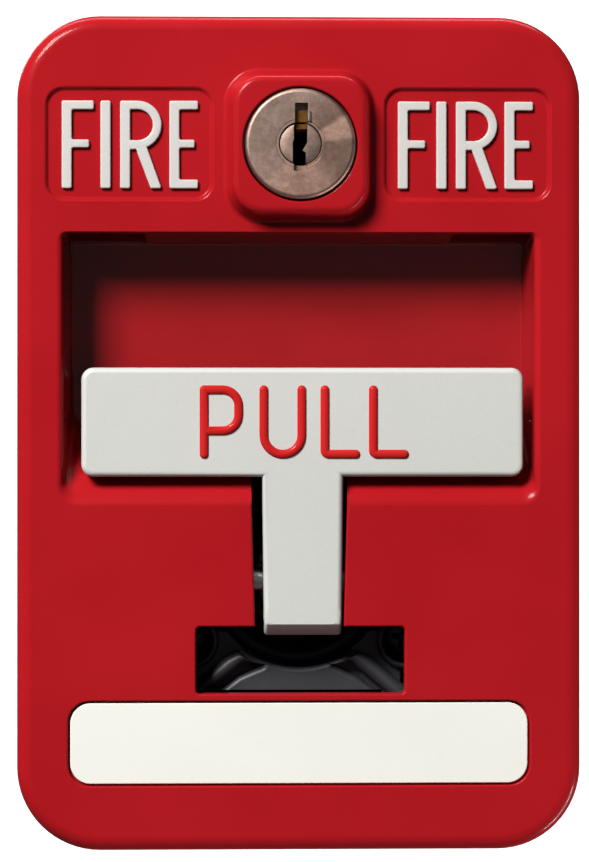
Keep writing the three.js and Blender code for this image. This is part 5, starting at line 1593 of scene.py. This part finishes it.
# name, material, and the (x, y, z) points from a switch lug to a terminal
LEADS = (
    ("lead_black", PVC_BLACK,
     [(0, 16.6, SWITCH_Z), (-2.0, 17.8, SWITCH_Z + 2.0), (-3.6, 16.8, SWITCH_Z + 8),
      (-2.0, 12.6, SWITCH_Z + 17), (0, LEAD_END_Y + 0.2, 2.6), (0, LEAD_END_Y, 6.9)]),
    ("lead_yellow", PVC_YELLOW,
     [(0, 16.6, SWITCH_Z - LUG_PITCH), (-2.5, 18.6, SWITCH_Z - 5), (-8, 17.0, SWITCH_Z + 4),
      (-9.8, 12.6, SWITCH_Z + 15), (-9.2, LEAD_END_Y + 0.4, 1.6), (-9, LEAD_END_Y, 6.9)]),
    ("lead_red", PVC_RED,
     [(0, 16.6, SWITCH_Z + LUG_PITCH), (2.6, 18.0, SWITCH_Z + 7.4), (7.6, 15.4, SWITCH_Z + 12),
      (9.3, 11.2, SWITCH_Z + 19), (9.1, LEAD_END_Y + 0.2, 2.6), (9, LEAD_END_Y, 6.9)]),
)


def build_leads():
    for name, material, points in LEADS:
        curve = curve_points(points)
        # the insulation stops a little short of either end, bare strands carry on
        first, end = 5, len(curve) - 8
        jacket = 0.85
        insulation = tube(curve[first:end], lambda a: jacket, 22, jacket)
        stand_in(insulation, name, "base", material, 50)
        x = curve[-1].x
        tail = curve[end - 1:-2] + [Vector((x, 7.55, 6.7)), Vector((x, 7.42, 7.4))]
        finish_piece(strands(tail), name + "_strands", "base", COPPER, 50)
        z = points[0][2]
        start = [Vector((0, 14.3, z)), Vector((0, 15.3, z + 0.02)), Vector((0, 16.3, z + 0.03))]
        finish_piece(strands(start + curve[1:first + 2]), name + "_soldered", "base",
                     COPPER, 50)


# ---------------------------------------------------------------- build
build_cover()
build_legend("legend_left", (-35.05, -29.35, -26.45, -19.2))
build_legend("legend_right", (14.55, 20.25, 23.15, 30.35))
build_label()
build_lock_barrel()
build_lock_plug()
build_lock_slot_parts()
build_handle()
build_lock_rear()
build_handle_pin()
build_pin_clips()
build_carrier()
build_detent()
build_rod_clips()
build_plate()
build_plate_hardware()
build_strike()
build_carrier_screws()
build_switch_case()
build_bushing()
build_lugs()
build_switch_moving_parts()
build_terminal_block()
build_terminals()
build_leads()

# any CAD part that is still shown is plain steel
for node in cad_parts.values():
    if not node.hide_render:
        node.data.materials.clear()
        node.data.materials.append(STEEL)


# ---------------------------------------------------------------- stage, lights, camera (metres)
def build_floor():
    """One seamless sheet: floor in front, curving up into a far backdrop."""
    floor_z, far, bend = -0.9, 1.9, 0.6
    profile = [(-2.6, floor_z), (far - bend, floor_z)]
    for i in range(1, 17):
        t = PI / 2 * i / 16
        profile.append((far - bend + bend * math.sin(t), floor_z + bend - bend * math.cos(t)))
    profile.append((far, 3.2))
    bm = bmesh.new()
    left, right = [[bm.verts.new((x, y, z)) for y, z in profile] for x in (-3.0, 3.0)]
    for k in range(len(profile) - 1):
        bm.faces.new((left[k], right[k], right[k + 1], left[k + 1]))
    bmesh.ops.recalc_face_normals(bm, faces=bm.faces)
    o = new_object(bm, "floor")
    for polygon in o.data.polygons:
        polygon.use_smooth = True
    o.data.materials.append(make_floor_paper())


def aim(o, at, target):
    o.location = at
    o.rotation_euler = (Vector(target) - Vector(at)).to_track_quat("-Z", "Y").to_euler()


def area_light(name, at, target, size, power, color=(1, 1, 1), size_y=None):
    light = bpy.data.lights.new(name, "AREA")
    light.energy, light.color, light.size = power, color, size
    if size_y:
        light.shape, light.size_y = "RECTANGLE", size_y
    o = bpy.data.objects.new(name, light)
    bpy.context.scene.collection.objects.link(o)
    aim(o, at, target)
    o.visible_camera = False


def build_lights():
    middle = Vector((0, -0.02, 0))
    key_way = Vector((-0.70, -1.0, 0.92)).normalized()
    area_light("key", middle + key_way * 1.45, middle, size=0.50, power=42.3,
               color=(1.0, 0.985, 0.965))
    # a thin strip low on the right, a little behind the plate
    area_light("edge_strip", (0.80, 0.022, -0.60), middle, size=0.03, size_y=0.6, power=9.0,
               color=(1.0, 0.96, 0.93))
    area_light("back_fill", (-0.7, 1.25, 0.75), (0, 0, 0), size=0.6, power=10.0)
    area_light("backdrop_light", (0, 0.6, 1.9), (0, 1.9, 0.35), size=2.2, size_y=0.7, power=60.0)


def build_world():
    """Full strength for the camera, a dim fill for diffuse rays, more for glossy ones."""
    diffuse_fill, glossy_fill = 0.020, 0.14
    world = bpy.data.worlds.new("studio")
    bpy.context.scene.world = world
    world.use_nodes = True
    tree = world.node_tree
    background = tree.nodes["Background"]
    background.inputs[0].default_value = (0.93, 0.96, 1.0, 1)
    path = tree.nodes.new("ShaderNodeLightPath")
    fill = tree.nodes.new("ShaderNodeMapRange")
    fill.inputs[3].default_value, fill.inputs[4].default_value = diffuse_fill, glossy_fill
    tree.links.new(path.outputs["Is Glossy Ray"], fill.inputs[0])
    strength = tree.nodes.new("ShaderNodeMath")
    strength.operation = "MAXIMUM"
    tree.links.new(fill.outputs[0], strength.inputs[0])
    tree.links.new(path.outputs["Is Camera Ray"], strength.inputs[1])
    tree.links.new(strength.outputs[0], background.inputs[1])


def build_camera():
    data = bpy.data.cameras.new("camera")
    data.lens, data.sensor_width, data.sensor_fit = 127.4, 36.0, "AUTO"
    data.clip_start = 0.01
    camera = bpy.data.objects.new("camera", data)
    bpy.context.scene.collection.objects.link(camera)
    aim(camera, (-0.014, -0.4754, 0.0), (-0.00074, -0.0254, 0.0003))
    bpy.context.scene.camera = camera


build_floor()
build_lights()
build_world()
bpy.context.scene.view_settings.view_transform = "Standard"
bpy.context.scene.view_settings.look = "None"
build_camera()
